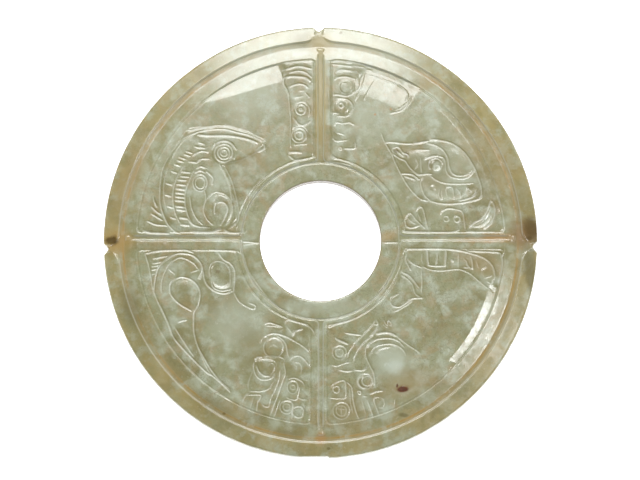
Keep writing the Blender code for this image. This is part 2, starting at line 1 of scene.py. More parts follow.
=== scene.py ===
"""Looks of the jade bi disc: its fine carving, its stone, the floor, the light, the camera.

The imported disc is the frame. One finely carved mesh stands for it, made from a height map
of the carved face: rings, fields and channels worked out from their radii, then swellings
and cut lines laid over them. All lengths are millimetres until the mesh is filled in.
"""

import logging
import math
from dataclasses import dataclass, field
from enum import Enum

import bpy
import numpy as np
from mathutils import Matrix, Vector


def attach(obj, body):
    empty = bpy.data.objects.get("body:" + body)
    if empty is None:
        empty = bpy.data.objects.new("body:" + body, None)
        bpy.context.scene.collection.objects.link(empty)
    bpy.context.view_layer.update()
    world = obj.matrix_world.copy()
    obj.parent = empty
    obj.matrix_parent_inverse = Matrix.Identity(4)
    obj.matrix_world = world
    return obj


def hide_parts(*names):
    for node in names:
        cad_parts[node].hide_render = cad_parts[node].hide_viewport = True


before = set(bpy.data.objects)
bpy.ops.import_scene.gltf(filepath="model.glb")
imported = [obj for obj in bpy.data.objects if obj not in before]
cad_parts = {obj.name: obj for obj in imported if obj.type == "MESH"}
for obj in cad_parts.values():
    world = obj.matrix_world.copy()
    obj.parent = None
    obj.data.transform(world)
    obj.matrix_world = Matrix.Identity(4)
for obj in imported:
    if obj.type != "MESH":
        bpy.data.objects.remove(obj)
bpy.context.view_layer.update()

LOG = logging.getLogger("jade_disc")
MM = 0.001

# The carving is drawn on the photograph's frame: the disc's middle there, in pixels, the
# millimetres of one pixel, and how far the slight tilt of the view shortens heights
DRAWN_MIDDLE = (320.5, 240.7)
DRAWN_UNIT = 0.299
DRAWN_SQUASH = 0.9925

Points = list[tuple[float, float]]


class Cut(Enum):
    """How a line is cut: half its width and its depth in millimetres, and its paleness."""

    BROAD = (0.50, 0.130, 1.0)
    CLEAR = (0.36, 0.092, 0.8)
    PLAIN = (0.30, 0.052, 0.6)
    FAINT = (0.28, 0.032, 0.4)


def to_disc(points: Points | np.ndarray) -> np.ndarray:
    """Points drawn on the photograph's frame brought to the disc, in millimetres.

    Across is (x - middle) times the unit, and up is (middle - y) times the unit over the
    shortening.

    Args:
        points: Pixels, x to the right and y down.

    Returns:
        Millimetres from the disc's middle, y up.
    """
    drawn = np.asarray(points, float)
    across = (drawn[:, 0] - DRAWN_MIDDLE[0]) * DRAWN_UNIT
    up = (DRAWN_MIDDLE[1] - drawn[:, 1]) * DRAWN_UNIT / DRAWN_SQUASH
    return np.column_stack([across, up])


def ring(x: float, y: float, radius: float, tall: float = 1.0,
         start: float = 0.0, end: float = 360.0) -> Points:
    """Points of a circle, or part of one, on the photograph's frame.

    Point k is at the centre plus the radius times (cosine, -sine) of its angle.

    Args:
        x: Centre across.
        y: Centre down.
        radius: Radius in pixels.
        tall: Height as a share of the width.
        start: First angle in degrees, from the right, turning up.
        end: Last angle in degrees.

    Returns:
        The points, the first repeated at the end of a whole circle.
    """
    turn = np.radians(np.linspace(start, end, max(5, round(abs(end - start) / 30) + 1)))
    return [(x + radius * math.cos(a), y - radius * tall * math.sin(a)) for a in turn]


def smooth_path(points: np.ndarray, step: float = 0.35) -> np.ndarray:
    """Evenly spaced points on a Catmull-Rom curve through the given ones.

    Between b and c, with a before b and d after c, the curve at t is
    b + t (c - a) / 2 + t^2 (2 a - 5 b + 4 c - d) / 2 + t^3 (3 b - a - 3 c + d) / 2.

    Args:
        points: The points to pass through; a closed path repeats its first at the end.
        step: Spacing in millimetres.

    Returns:
        The curve's points, both ends included.
    """
    if np.allclose(points[0], points[-1]):
        knots = np.vstack([points[-2], points, points[1]])
    else:
        knots = np.vstack([2 * points[0] - points[1], points, 2 * points[-1] - points[-2]])
    t = np.linspace(0.0, 1.0, 16, endpoint=False)[None, :, None]
    a, b, c, d = (knots[i:len(knots) - 3 + i, None] for i in range(4))
    bend = t ** 2 * (2 * a - 5 * b + 4 * c - d) / 2 + t ** 3 * (3 * b - a - 3 * c + d) / 2
    dense = (b + t * (c - a) / 2 + bend).reshape(-1, 2)
    dense = np.vstack([dense, points[-1:]])
    along = np.concatenate([[0.0], np.cumsum(np.linalg.norm(np.diff(dense, axis=0), axis=1))])
    stations = np.linspace(0.0, along[-1], max(3, round(along[-1] / step) + 1))
    return np.column_stack([np.interp(stations, along, dense[:, k]) for k in (0, 1)])


def ease(distance: np.ndarray, run: float) -> np.ndarray:
    """0 below zero and 1 beyond run, by s s (3 - 2 s) between, where s is distance / run."""
    share = np.clip(distance / run, 0.0, 1.0)
    return share * share * (3.0 - 2.0 * share)


def groove(distance: np.ndarray, half: float) -> np.ndarray:
    """The rounded section of a cut line: (1 - (distance / half)^2)^2, and 0 beyond half."""
    return np.clip(1.0 - (distance / half) ** 2, 0.0, 1.0) ** 2


def soft_min(first: np.ndarray, second: np.ndarray, blend: float) -> np.ndarray:
    """The smaller of two distances, rounded over where they differ by less than blend."""
    share = np.clip(0.5 + 0.5 * (second - first) / blend, 0.0, 1.0)
    return second + (first - second) * share - blend * share * (1.0 - share)


@dataclass(frozen=True)
class Plan:
    """A square raster of the carved face, in millimetres, y up with the rows."""

    half: float = 66.0
    pitch: float = 0.1

    @property
    def axis(self) -> np.ndarray:
        """Places of the columns, and of the rows."""
        return np.arange(-self.half, self.half + self.pitch / 2, self.pitch, dtype=np.float32)

    def window(self, points: np.ndarray, reach: float) -> tuple[slice, slice]:
        """Rows and columns of the box round some points, grown by a reach.

        Args:
            points: Places in millimetres.
            reach: How far the box goes past them.

        Returns:
            The rows and the columns, as slices.
        """
        low = np.floor((points.min(axis=0) - reach + self.half) / self.pitch).astype(int)
        high = np.ceil((points.max(axis=0) + reach + self.half) / self.pitch).astype(int) + 1
        low, high = np.maximum(low, 0), np.minimum(high, len(self.axis))
        return slice(low[1], high[1]), slice(low[0], high[0])

    def sample(self, raster: np.ndarray, x: np.ndarray, y: np.ndarray) -> np.ndarray:
        """Values of a raster at any places, each blended from its four nearest cells.

        Args:
            raster: The values, row by row.
            x: Places across, in millimetres.
            y: Places up, in millimetres.

        Returns:
            One value for each place.
        """
        last = len(self.axis) - 1.001
        column = np.clip((x + self.half) / self.pitch, 0.0, last)
        row = np.clip((y + self.half) / self.pitch, 0.0, last)
        i, j = row.astype(int), column.astype(int)
        v, u = row - i, column - j
        lower = raster[i, j] * (1 - u) + raster[i, j + 1] * u
        upper = raster[i + 1, j] * (1 - u) + raster[i + 1, j + 1] * u
        return lower * (1 - v) + upper * v

    def blurred(self, raster: np.ndarray, spread: float) -> np.ndarray:
        """A raster smoothed by a bell of the given spread: sums of shifted copies.

        Args:
            raster: The values.
            spread: Standard deviation in millimetres.

        Returns:
            The smoothed values.
        """
        taps = max(1, math.ceil(2.5 * spread / self.pitch))
        weights = np.exp(-0.5 * (np.arange(-taps, taps + 1) * self.pitch / spread) ** 2)
        weights = (weights / weights.sum()).astype(np.float32)
        for way in (0, 1):
            padded = np.pad(raster, [(taps, taps) if way == k else (0, 0) for k in (0, 1)],
                            mode="edge")
            size = raster.shape[way]
            parts = (np.take(padded, range(k, k + size), axis=way) * weight
                     for k, weight in enumerate(weights))
            raster = sum(parts)
        return raster


@dataclass(frozen=True)
class Field:
    """One of the four raised fields: its quarter, its edges and its frame."""

    side_x: int
    side_y: int
    edge_x: float
    edge_y: float
    frame_x: float
    frame_y: float

    def depth(self, x: np.ndarray, y: np.ndarray, outer: float, inner: float,
              framed: bool) -> np.ndarray:
        """How far places lie inside the field's edge, or inside its frame.

        It is the least of outer - r, r - inner and the distances from the two channels,
        rounded where two are nearly equal.

        Args:
            x: Places across.
            y: Places up.
            outer: Radius of the outer arc.
            inner: Radius of the inner arc.
            framed: Whether to measure from the frame.

        Returns:
            Depths in millimetres, below zero outside.
        """
        edge_x = self.frame_x if framed else self.edge_x
        edge_y = self.frame_y if framed else self.edge_y
        radius = np.hypot(x, y)
        across = soft_min(self.side_x * x - edge_x, self.side_y * y - edge_y, 1.3)
        return soft_min(soft_min(outer - radius, radius - inner, 0.8), across, 1.6)


@dataclass
class Figure:
    """Carved lines and swellings of one figure, drawn on the photograph's frame."""

    name: str
    lines: dict[Cut, list[Points]] = field(default_factory=dict)
    swells: list[tuple[float, float, Points]] = field(default_factory=list)


def dashes(places: Points, half: float, lean: float = 0.0) -> list[Points]:
    """Short level strokes, one at each place, as the teeth of a comb.

    Args:
        places: The middle of each stroke.
        half: Half its length in pixels.
        lean: How far its right end lies below its left one.

    Returns:
        One line for each place.
    """
    return [[(x - half, y - lean / 2), (x, y), (x + half, y + lean / 2)] for x, y in places]


def upper_left_column() -> Figure:
    """The stack of masks beside the upper channel, on its left."""
    return Figure("upper_left_column", {
        Cut.BROAD: [
            [(283.5, 83), (283.5, 79.6), (285.4, 76.8), (291, 75.6), (300, 75.9),
             (306, 77), (309.8, 80)],
            [(289.5, 152.1), (295, 151.8), (300.8, 152.1)],
        ],
        Cut.CLEAR: [
            [(282.8, 69.5), (291, 66.8), (300, 65.3), (310.5, 67.7)],
            [(283, 61.8), (296, 60.6), (312, 60.4)],
            [(283.5, 83), (286.5, 88.3), (288.8, 95)],
            [(290.3, 85.8), (294.8, 83.8), (300, 83), (305.3, 84.6), (307.5, 86.8)],
            ring(301, 108.9, 5.0),
            [(294, 117.6), (297.8, 122.8), (302.3, 125), (306, 123.6), (309.8, 120.9)],
            ring(299.3, 134.9, 7.2),
            [(289.5, 155.9), (294.8, 159.6), (300.8, 159.6), (308, 158.4)],
        ],
        Cut.PLAIN: [
            [(289.5, 71.8), (298.5, 70), (306, 71.8), (311.3, 76.3)],
            [(281, 71), (282, 77), (283.5, 83)],
            [(288.8, 95), (289.9, 109), (291, 120), (290.6, 134), (290.8, 147)],
            [(294.8, 96.9), (302.3, 95.5)],
            [(305.3, 92), (309.3, 96.6)],
            [(299, 90.6), (303.4, 89.8)],
            ring(301, 108.9, 1.3),
            ring(299.3, 134.9, 3.8),
            [(294.8, 144.9), (300, 144), (306.8, 143.7)],
            [(308, 104), (310, 110), (308.6, 116)],
        ],
    }, [(0.12, 0.9, ring(299.3, 134.9, 9.0)), (0.10, 0.9, ring(301, 108.9, 7.4))])


def upper_left_head() -> Figure:
    """The crested head with its two eyes, its comb of teeth and its looped beak."""
    outer_teeth = [(201, 143), (197, 147), (189, 152), (187, 155), (182, 158), (180, 161),
                   (177, 165), (174, 172), (169, 184), (168, 195.5), (170, 207), (173, 218)]
    inner_teeth = [(193, 162), (186, 172), (185, 176.5), (182, 180), (181, 184.6),
                   (180.4, 189), (180, 193), (179.8, 197), (179.6, 200.6), (180, 206.6),
                   (181, 210), (183.6, 218), (185, 225)]
    return Figure("upper_left_head", {
        Cut.BROAD: [
            [(198, 134.4), (209, 135.4), (225, 135.2), (237, 136.6), (249, 139.4),
             (257, 142.5)],
            [(191, 231.4), (202, 232.2), (212, 231.8), (221, 229)],
            [(144, 230.6), (150, 232.6), (158, 233.1), (169, 233.6)],
            [(187, 130.6), (193, 129.6), (203, 127.8), (214, 126.8)],
            [(225, 230), (230.6, 232.7), (242.5, 232.3), (244, 228.7)],
            ring(223.9, 152.8, 11.9, 1.0, 20, 160),
            *dashes(inner_teeth[5:], 3.7, 0.8),
        ],
        Cut.CLEAR: [
            [(172, 151), (181.6, 140), (190, 134.6), (201, 130.7), (213, 129), (225, 129),
             (237, 132), (249, 135), (261, 140), (264.6, 143)],
            ring(223.9, 152.8, 9.0),
            ring(200.2, 182.8, 7.0, 1.18),
            [(193, 155), (198, 152), (203, 151), (208, 152)],
            [(197, 162), (201, 159), (208.5, 158.7)],
            [(198, 147), (204.5, 148)],
            [(188, 219), (193, 224.4), (199, 226.6), (210, 227.6)],
            [(214.4, 213), (215.6, 205), (219.5, 202), (225, 203.4), (228, 209),
             (226.7, 215), (223.5, 221.6), (220.5, 225)],
            [(264, 143), (264.6, 147.7), (258, 151.5)],
            [(153.5, 197), (154.4, 201.4), (156.6, 206.4)],
            [(151.5, 206.6), (156, 211), (161, 214.5)],
            [(151.5, 213.7), (157, 217), (162, 220)],
            [(147.6, 221), (155.5, 224.4), (166.6, 225.5)],
            *dashes(outer_teeth, 2.6, 1.6),
            *dashes(inner_teeth[:5], 3.9, 0.8),
        ],
        Cut.PLAIN: [
            [(172, 151), (164, 165.5), (161, 178), (160, 193), (160.6, 205), (163.4, 214.5),
             (168, 224), (174.5, 231), (181, 234)],
            [(184, 165.5), (177.6, 176.5), (173.7, 189), (173.3, 201), (175.3, 213),
             (180, 223)],
            [(195, 169), (189.5, 181), (185.5, 193), (185.5, 205), (188, 215), (193, 225)],
            [(190, 197), (192, 209), (197, 219), (203, 225)],
            ring(223.9, 152.8, 6.0),
            ring(200.2, 182.8, 4.7, 1.2),
            [(195, 172.6), (200, 170.6), (205, 172.6)],
            [(196, 168.6), (200.5, 166.4), (206, 168.2)],
            [(206, 171), (213, 178), (211.6, 185)],
            [(219.5, 163.5), (223.5, 172), (228, 181), (231, 193), (232, 201)],
            [(225, 167), (231, 179), (235, 191.5), (238, 205), (239, 217), (237, 222),
             (230, 228)],
            [(203.7, 210), (206, 201), (211.6, 194), (217, 192), (225, 194.7),
             (230.6, 201), (233, 210), (230, 220), (225, 226)],
            [(214, 201), (216, 198), (219.5, 194.7), (226, 197.4)],
            [(261, 137.4), (253, 134), (239, 129), (225, 126), (209, 126), (193.5, 128.3)],
            [(204, 188), (206, 198), (203.7, 210), (207, 219), (213, 225)],
        ],
        Cut.FAINT: [
            ring(223.9, 152.8, 3.0),
            [(168, 168), (164.4, 182), (164, 198), (167, 212)],
            [(263, 147), (254, 153.5), (242, 159.5), (230, 162.5), (219.5, 162.8)],
        ],
    }, [
        (0.22, 1.30, [(187, 129.4), (195, 127), (209, 125.4), (225, 125), (239, 128),
                      (253, 133.2), (266, 142), (259, 151), (249, 157.5), (237, 162.4),
                      (225, 166), (229, 176), (234.4, 190), (238.6, 206), (237.6, 221),
                      (226, 229), (200, 230), (182, 231), (168, 221), (161, 205),
                      (160, 190), (163, 170), (172, 150), (180, 139), (187, 129.4)]),
        (0.10, 0.9, ring(223.9, 152.8, 12.6)),
        (0.12, 0.9, ring(200.2, 182.8, 8.2, 1.16)),
        (0.10, 1.0, [(215, 222), (211, 208), (215, 196), (223, 193), (231, 201), (232, 212),
                     (226, 224), (215, 222)]),
    ])


def upper_right_column() -> Figure:
    """The stack of masks beside the upper channel, on its right."""
    return Figure("upper_right_column", {
        Cut.CLEAR: [
            [(329.6, 60.6), (337, 60.0), (346.6, 60.2), (358, 62.2), (372, 65.6)],
            [(336.7, 71), (341, 69), (350.4, 69.8), (359, 72.5), (359, 75.6)],
            [(335, 78.6), (339, 76.3), (346.6, 75.9), (354, 77.8)],
            [(331, 155), (336.7, 158)],
            [(345, 148.3), (355, 148), (356, 143.7)],
            [(326, 162), (339, 162.4), (350, 165)],
        ],
        Cut.PLAIN: [
            [(330.5, 63.3), (346.6, 64.8), (372, 69.4)],
            ring(346.6, 86.3, 7.0),
            [(342.8, 82.4), (346.6, 82.8)],
            [(333.6, 94), (339, 94), (346.6, 95.4), (352.7, 93), (359, 87.8), (361, 78.6)],
            [(362.7, 74.8), (359.6, 81.7)],
            [(365.7, 74), (363.4, 82.4), (358.4, 93.7), (355.6, 99.3)],
            [(374.7, 79.6), (369.7, 88), (364, 99.3)],
            ring(341.3, 104.6, 2.5),
            [(336.7, 97.7), (346.6, 98.5), (352, 103), (353, 108.5), (348, 115.3),
             (337.4, 115.7)],
            [(331, 112.3), (339, 112.7)],
            [(334.7, 125), (336.7, 122), (343, 123), (349.7, 122), (354, 124.5)],
            [(337.4, 132), (344, 134.5)],
            [(332.8, 138), (336.7, 140.6), (346.6, 139.8)],
            ring(340.5, 148.3, 1.4),
        ],
    }, [(0.12, 0.9, ring(346.6, 86.3, 8.4)), (0.10, 0.8, ring(342.0, 106.0, 8.0))])


def upper_right_scroll() -> Figure:
    """The tear-shaped scroll near the top of the upper right field."""
    return Figure("upper_right_scroll", {
        Cut.CLEAR: [
            [(411.8, 96), (409, 102.7), (405.6, 107), (400.5, 110.5), (391, 112.8)],
            [(397.7, 83.6), (405, 89), (408.4, 95), (406, 100)],
        ],
        Cut.PLAIN: [
            [(395, 110), (402, 107), (408, 101)],
            [(366, 73), (381, 77.6), (397.7, 83.6)],
        ],
    })


def upper_right_eye() -> Figure:
    """The great eye: brow, pupil, tear-shaped cheek and toothed pouch."""
    return Figure("upper_right_eye", {
        Cut.BROAD: [
            [(414, 143.2), (421, 142), (428, 140.6)],
            [(431, 139.6), (434, 139.2), (438, 139.4)],
            [(425.4, 158.6), (428, 157.4), (432.1, 156.1), (437.9, 155.4)],
            [(403, 231.3), (415, 231.8), (428.5, 232)],
        ],
        Cut.CLEAR: [
            [(385.2, 142.4), (391.7, 141.8), (404.7, 143.2), (414, 143.2)],
            [(438, 139.6), (442.3, 140.2), (450.9, 142.4), (459.6, 147.5), (466.8, 154.7),
             (472.6, 163.4), (476.2, 170.6), (479.8, 180.7), (482, 189.4), (481.3, 196.6),
             (476.9, 199.5), (463.9, 202.4), (450.9, 203.8), (439.4, 203.1),
             (430.7, 200.9)],
            [(417, 174.2), (422, 174.4), (427.8, 173.6), (432.1, 174.2)],
            [(417, 149.6), (429.2, 149.6)],
            [(401, 173.5), (411.9, 174.2), (419.1, 179.2)],
            [(404.7, 175.8), (414.8, 179.4)],
            [(476.9, 189.4), (475.5, 193.7), (471.2, 197.3), (459.6, 200.9)],
            [(430, 232), (450.9, 232), (459.6, 229.6)],
        ],
        Cut.PLAIN: [
            [(381.6, 133), (385.2, 142.4), (391.7, 153.2), (396, 163.4), (401, 173.5),
             (406.8, 183.6), (413.4, 192.3), (420.6, 198.8), (427.8, 200.9)],
            [(430.7, 200.9), (424.9, 195.1), (422, 187.9), (421.3, 182.1), (423.5, 176.4)],
            [(393.8, 152.5), (393.1, 148.9), (396.7, 146.7), (400.3, 148.2),
             (403.2, 152.5), (407.6, 154), (409, 156.8)],
            [(391.7, 152.5), (398.9, 157.6), (405.4, 160.5), (408.3, 164.8),
             (411.9, 169.1), (417.7, 174.2)],
            [(437.9, 156.1), (443.7, 157.6), (445.9, 163.4), (446.6, 170.6),
             (450.9, 176.4), (459.6, 178.5), (468.3, 177.1), (473.3, 172), (475.5, 169.1)],
            [(427.8, 143.1), (436.5, 145.3), (443.7, 150.3), (448, 157.6), (449.5, 166.2),
             (453.1, 173.5), (461, 175.6), (469.7, 173.5), (474, 169.1)],
            ring(436, 164.8, 6.8, 1.0, 10, 215),
            [(421.3, 157.6), (421.4, 164), (422, 172)],
            [(430.7, 175.6), (439.4, 181.4), (450.9, 183.6), (463.9, 183.6),
             (473.3, 182.9)],
            [(440, 189.4), (439.4, 195.1), (441.5, 199.5), (442.3, 190.8)],
            [(447.3, 195.1), (446.6, 189.4), (449.5, 186.5), (453.1, 188.6),
             (454.5, 198.8)],
            [(456.7, 188.6), (460.3, 192.3), (461, 198)],
            [(466, 190.8), (468.3, 187.9), (471.2, 190.8)],
            [(466.8, 231.6), (480, 231.8), (494.3, 231.4)],
        ],
        Cut.FAINT: [
            ring(437.6, 167.4, 2.6),
            [(396, 150), (400, 153), (404, 156.4)],
            [(416, 158), (418, 164), (415, 170)],
        ],
    }, [
        (0.06, 2.0, [(395, 157), (402, 153), (414, 150), (425, 151), (435, 156),
                     (443, 160), (446, 170), (440, 177), (430, 175), (418, 173),
                     (408, 170), (395, 157)]),
        (0.05, 2.2, [(449, 148), (458, 149), (467, 158), (473, 167), (468, 172),
                     (459, 174), (453, 170), (450, 158), (449, 148)]),
        (-0.05, 1.8, [(424, 180), (434, 181), (446, 185), (459, 185.6), (475, 185),
                      (475, 191), (466, 197), (450, 200.4), (436, 198), (427, 191),
                      (424, 180)]),
        (0.10, 0.5, ring(432.9, 187.9, 3.0)),
        (-0.08, 0.6, ring(436.4, 165, 5.4)),
    ])


def upper_right_foot() -> Figure:
    """The small leaf, arch and plume along the foot of the upper right field."""
    return Figure("upper_right_foot", {
        Cut.CLEAR: [
            [(405.4, 221.2), (406.8, 226.2), (411.9, 227.7), (419.1, 225.5)],
            [(440.8, 213.9), (442.3, 211), (448, 208.4), (455.3, 208.9)],
            [(469.7, 226.9), (475.5, 221.9), (482.7, 218.3), (487, 212.5), (489.9, 205.3),
             (491.8, 200.9), (495, 206.7), (495, 213.9), (491.4, 222.6), (484.2, 229.1)],
        ],
        Cut.PLAIN: [
            [(404.7, 219.7), (410.5, 213.2), (416.2, 219.7), (424.9, 228.4)],
            [(416.2, 211), (420.6, 206.7), (423.5, 209.6), (425.6, 218.3), (427.8, 228.4)],
            [(455.3, 208.9), (462.5, 211.8), (464.6, 221.2), (465.4, 229.8)],
            ring(457.4, 219, 2.9),
            [(496.8, 192.5), (501.8, 208.5), (504.4, 225.4), (501.8, 234.6)],
        ],
        Cut.FAINT: [
            ring(446.6, 218.6, 2.6),
            [(407, 217), (412, 222), (416, 224)],
            [(418, 213), (421.6, 222)],
        ],
    }, [(-0.10, 1.2, [(471, 227), (480, 221.4), (487, 215), (491.6, 204.4), (493, 213),
                      (489, 222), (482, 227.6), (471, 227)])])


def collar_lines() -> Figure:
    """The fine lines that carry the side channel's lower edge across the collar."""
    return Figure("collar_lines", {
        Cut.CLEAR: [[(241, 241.4), (250, 242.0), (260, 243.0)],
                    [(383.6, 242.7), (390, 242.3), (397, 242.3)]],
        Cut.FAINT: [[(243, 245), (252, 243.6), (260, 243.0)]],
    })


def lower_left_creature() -> Figure:
    """The long-tailed creature: crest, big loop, eye ring and tail."""
    return Figure("lower_left_creature", {
        Cut.CLEAR: [
            [(145.4, 253.4), (158, 251), (172, 250.2), (185, 250), (193.4, 252.5)],
            [(210, 249.8), (224, 250.4), (237.8, 251)],
            [(154.5, 292), (155.4, 281.5), (159, 268), (167, 259), (176, 254), (185, 253.4),
             (194, 256), (201.6, 264), (202.5, 271.5), (199, 278)],
            [(203.4, 269.7), (205, 279.7), (208.8, 286), (216, 291.4), (225, 293.3),
             (232.4, 290.5)],
            [(191.6, 310.5), (179, 303), (171.7, 295), (170.3, 288.7), (171.7, 282.4),
             (177, 278), (183.5, 277), (191.6, 279.7), (198, 286), (200.7, 294),
             (199, 305), (195.3, 311.4), (194.3, 319.5)],
            [(153.6, 258.6), (160, 257.2), (167, 256)],
            [(153.6, 263.2), (162.4, 261.6)],
            [(231, 289), (222, 290.6), (214.6, 288), (212, 283)],
            [(179, 321.8), (183, 320.3), (187, 319.6)],
            [(200.4, 278.6), (202, 275.4), (203.4, 271.6)],
            [(194.3, 312.4), (194.3, 322.5), (194.8, 332.5), (198.3, 345.6),
             (204.3, 356.7), (211.4, 368.8), (220.5, 380), (230.5, 389)],
            [(160, 304), (168, 321.5), (174, 336.6), (185, 349.7), (196, 361),
             (206.4, 371), (214.4, 376), (224.5, 385), (230.5, 391)],
        ],
        Cut.PLAIN: [
            [(145.4, 253.4), (149, 265), (151.8, 279), (154.5, 292), (165.4, 317),
             (172.6, 331)],
            [(237.8, 251), (244, 256), (247.8, 268), (254, 279), (267, 296), (282, 310.5)],
            [(161.7, 292), (162.6, 279.7), (169, 265), (178, 258), (185, 258.4),
             (194, 263.4), (199, 269.7)],
            [(152, 266.4), (160.8, 264.8)],
            [(151.2, 269.8), (157.6, 268.8)],
            [(152, 274.4), (156.2, 273.4)],
            [(169, 269), (175, 274)],
            [(191.2, 272.2), (198.4, 269.6)],
            [(234.4, 292.8), (239.2, 300.8), (245.6, 305.6), (253.6, 308.8), (256, 305.6),
             (248.8, 302.4)],
            [(210.7, 277), (209.7, 269.7), (212.5, 263.4), (218, 261), (225, 263.4),
             (229.7, 268.8), (230.6, 277), (230.4, 284), (226, 288)],
            [(218.8, 253), (224, 259.7), (230.6, 263.4), (235, 270.6), (235, 283),
             (234, 292)],
            [(199, 348.7), (208.4, 368.8), (213.4, 375)],
            [(175, 326.5), (182, 337.6), (190, 349.7), (195, 356.7)],
        ],
    }, [
        (0.08, 1.8, [(174, 289), (177, 281.5), (184, 279.6), (192, 282), (197.6, 290),
                     (197, 301), (192, 307), (181, 301), (174, 289)]),
        (-0.14, 1.2, [(210, 277), (211, 266), (218, 261.6), (226, 264.4), (230, 272),
                      (230.6, 284), (222, 289), (213, 285), (210, 277)]),
    ])


def lower_left_column() -> Figure:
    """The stack of masks beside the lower channel, on its left."""
    return Figure("lower_left_column", {
        Cut.BROAD: [
            [(293.2, 334.4), (296.2, 330.6), (302.2, 328.4)],
            [(256, 360), (258, 357), (261.6, 356.2)],
        ],
        Cut.CLEAR: [
            [(265, 323.8), (269.8, 322.4), (276, 324.2), (281.8, 326.2)],
            [(263.8, 337), (269.8, 333.6), (277, 333.3), (285.4, 335.8), (295, 340.6)],
            [(257.4, 366), (259.6, 371), (264, 374.8), (270, 375.4)],
        ],
        Cut.PLAIN: [
            [(285.4, 323.2), (287.2, 320.2), (290.2, 319.8), (299.8, 322.6),
             (308.2, 325.6), (313, 329.8), (314.8, 334)],
            [(266.6, 325.4), (274, 325.6), (280.6, 327)],
            [(295, 340.6), (303.4, 346), (310, 352)],
            [(260.8, 342.4), (263.8, 337)],
            [(277, 335.2), (283, 339.4), (286.6, 344.8), (287.8, 352), (289.6, 357.4)],
            ring(274, 347.2, 9.8),
            [(265, 355.8), (272.2, 355.4), (280.6, 356.4), (284.4, 358.4)],
            [(254.8, 361.6), (254.2, 367.6), (256.6, 374.8), (260.8, 378.4), (266.2, 379),
             (272.2, 377.2), (275.6, 373)],
            [(249.4, 390.2), (259, 390.6), (266.2, 389.2), (271, 386.2), (274.6, 380.8)],
            [(280.6, 370), (280, 377.2), (276.4, 388), (272.2, 396.4), (269.8, 404.6),
             (266, 405.6), (263, 404)],
            [(284.2, 362.8), (286, 372.4), (283, 382), (278.8, 394), (274.6, 404.8),
             (271, 414.4)],
            [(242.8, 401.2), (247, 394), (250.6, 391.6)],
            [(248.2, 394), (261.4, 394.6), (258.4, 402.4), (257.2, 410.8)],
            [(290.2, 360.4), (293.8, 356.2), (299.8, 355.6), (305.8, 360.4),
             (310.6, 367.6)],
            ring(293.2, 386.2, 5.4, 1.2),
            [(287.8, 378.4), (295, 377.2), (302.2, 380.8), (304.6, 384.4)],
            [(298.6, 396.6), (302, 398.4), (307, 398.8)],
            [(286.6, 396), (290, 398.2), (297, 398.4), (299.4, 392), (300, 387)],
            ring(287.2, 406, 6.6),
            ring(298.6, 410.8, 5.6),
            [(293.2, 403), (292.8, 411), (292.6, 418)],
            [(280.8, 399), (277.4, 409), (274, 417)],
        ],
        Cut.FAINT: [
            [(286.6, 326.2), (290.8, 331), (292.6, 334)],
            [(269.2, 347.2), (273.4, 344), (277.6, 346.4)],
            [(253.6, 370), (250.6, 377.2), (248.8, 384.4), (249.4, 389.2)],
            [(270, 375.4), (274.6, 370), (274.6, 364), (271, 362.6), (268.6, 366)],
            [(291.4, 364), (295, 361.6), (299.8, 362.8), (302.2, 367.6), (301, 373.6)],
            [(295.6, 369), (297.4, 366.4), (295, 364.6)],
            [(304, 379), (309, 379.6)],
            ring(293.2, 386.2, 2.4),
            ring(287.2, 406, 3.4),
            [(303.6, 403), (305, 406.6)],
            [(254, 396), (252.4, 403), (250, 409)],
            [(281, 331), (284, 328)],
        ],
    }, [
        (0.10, 1.2, ring(274, 347.2, 11.0)),
        (0.08, 1.0, [(257, 362), (264, 358), (276, 361), (276, 370), (268, 376),
                     (259, 373), (257, 362)]),
        (0.06, 0.8, ring(293.4, 386.6, 7.4)),
        (0.06, 0.8, ring(287.7, 407.3, 7.6)),
    ])


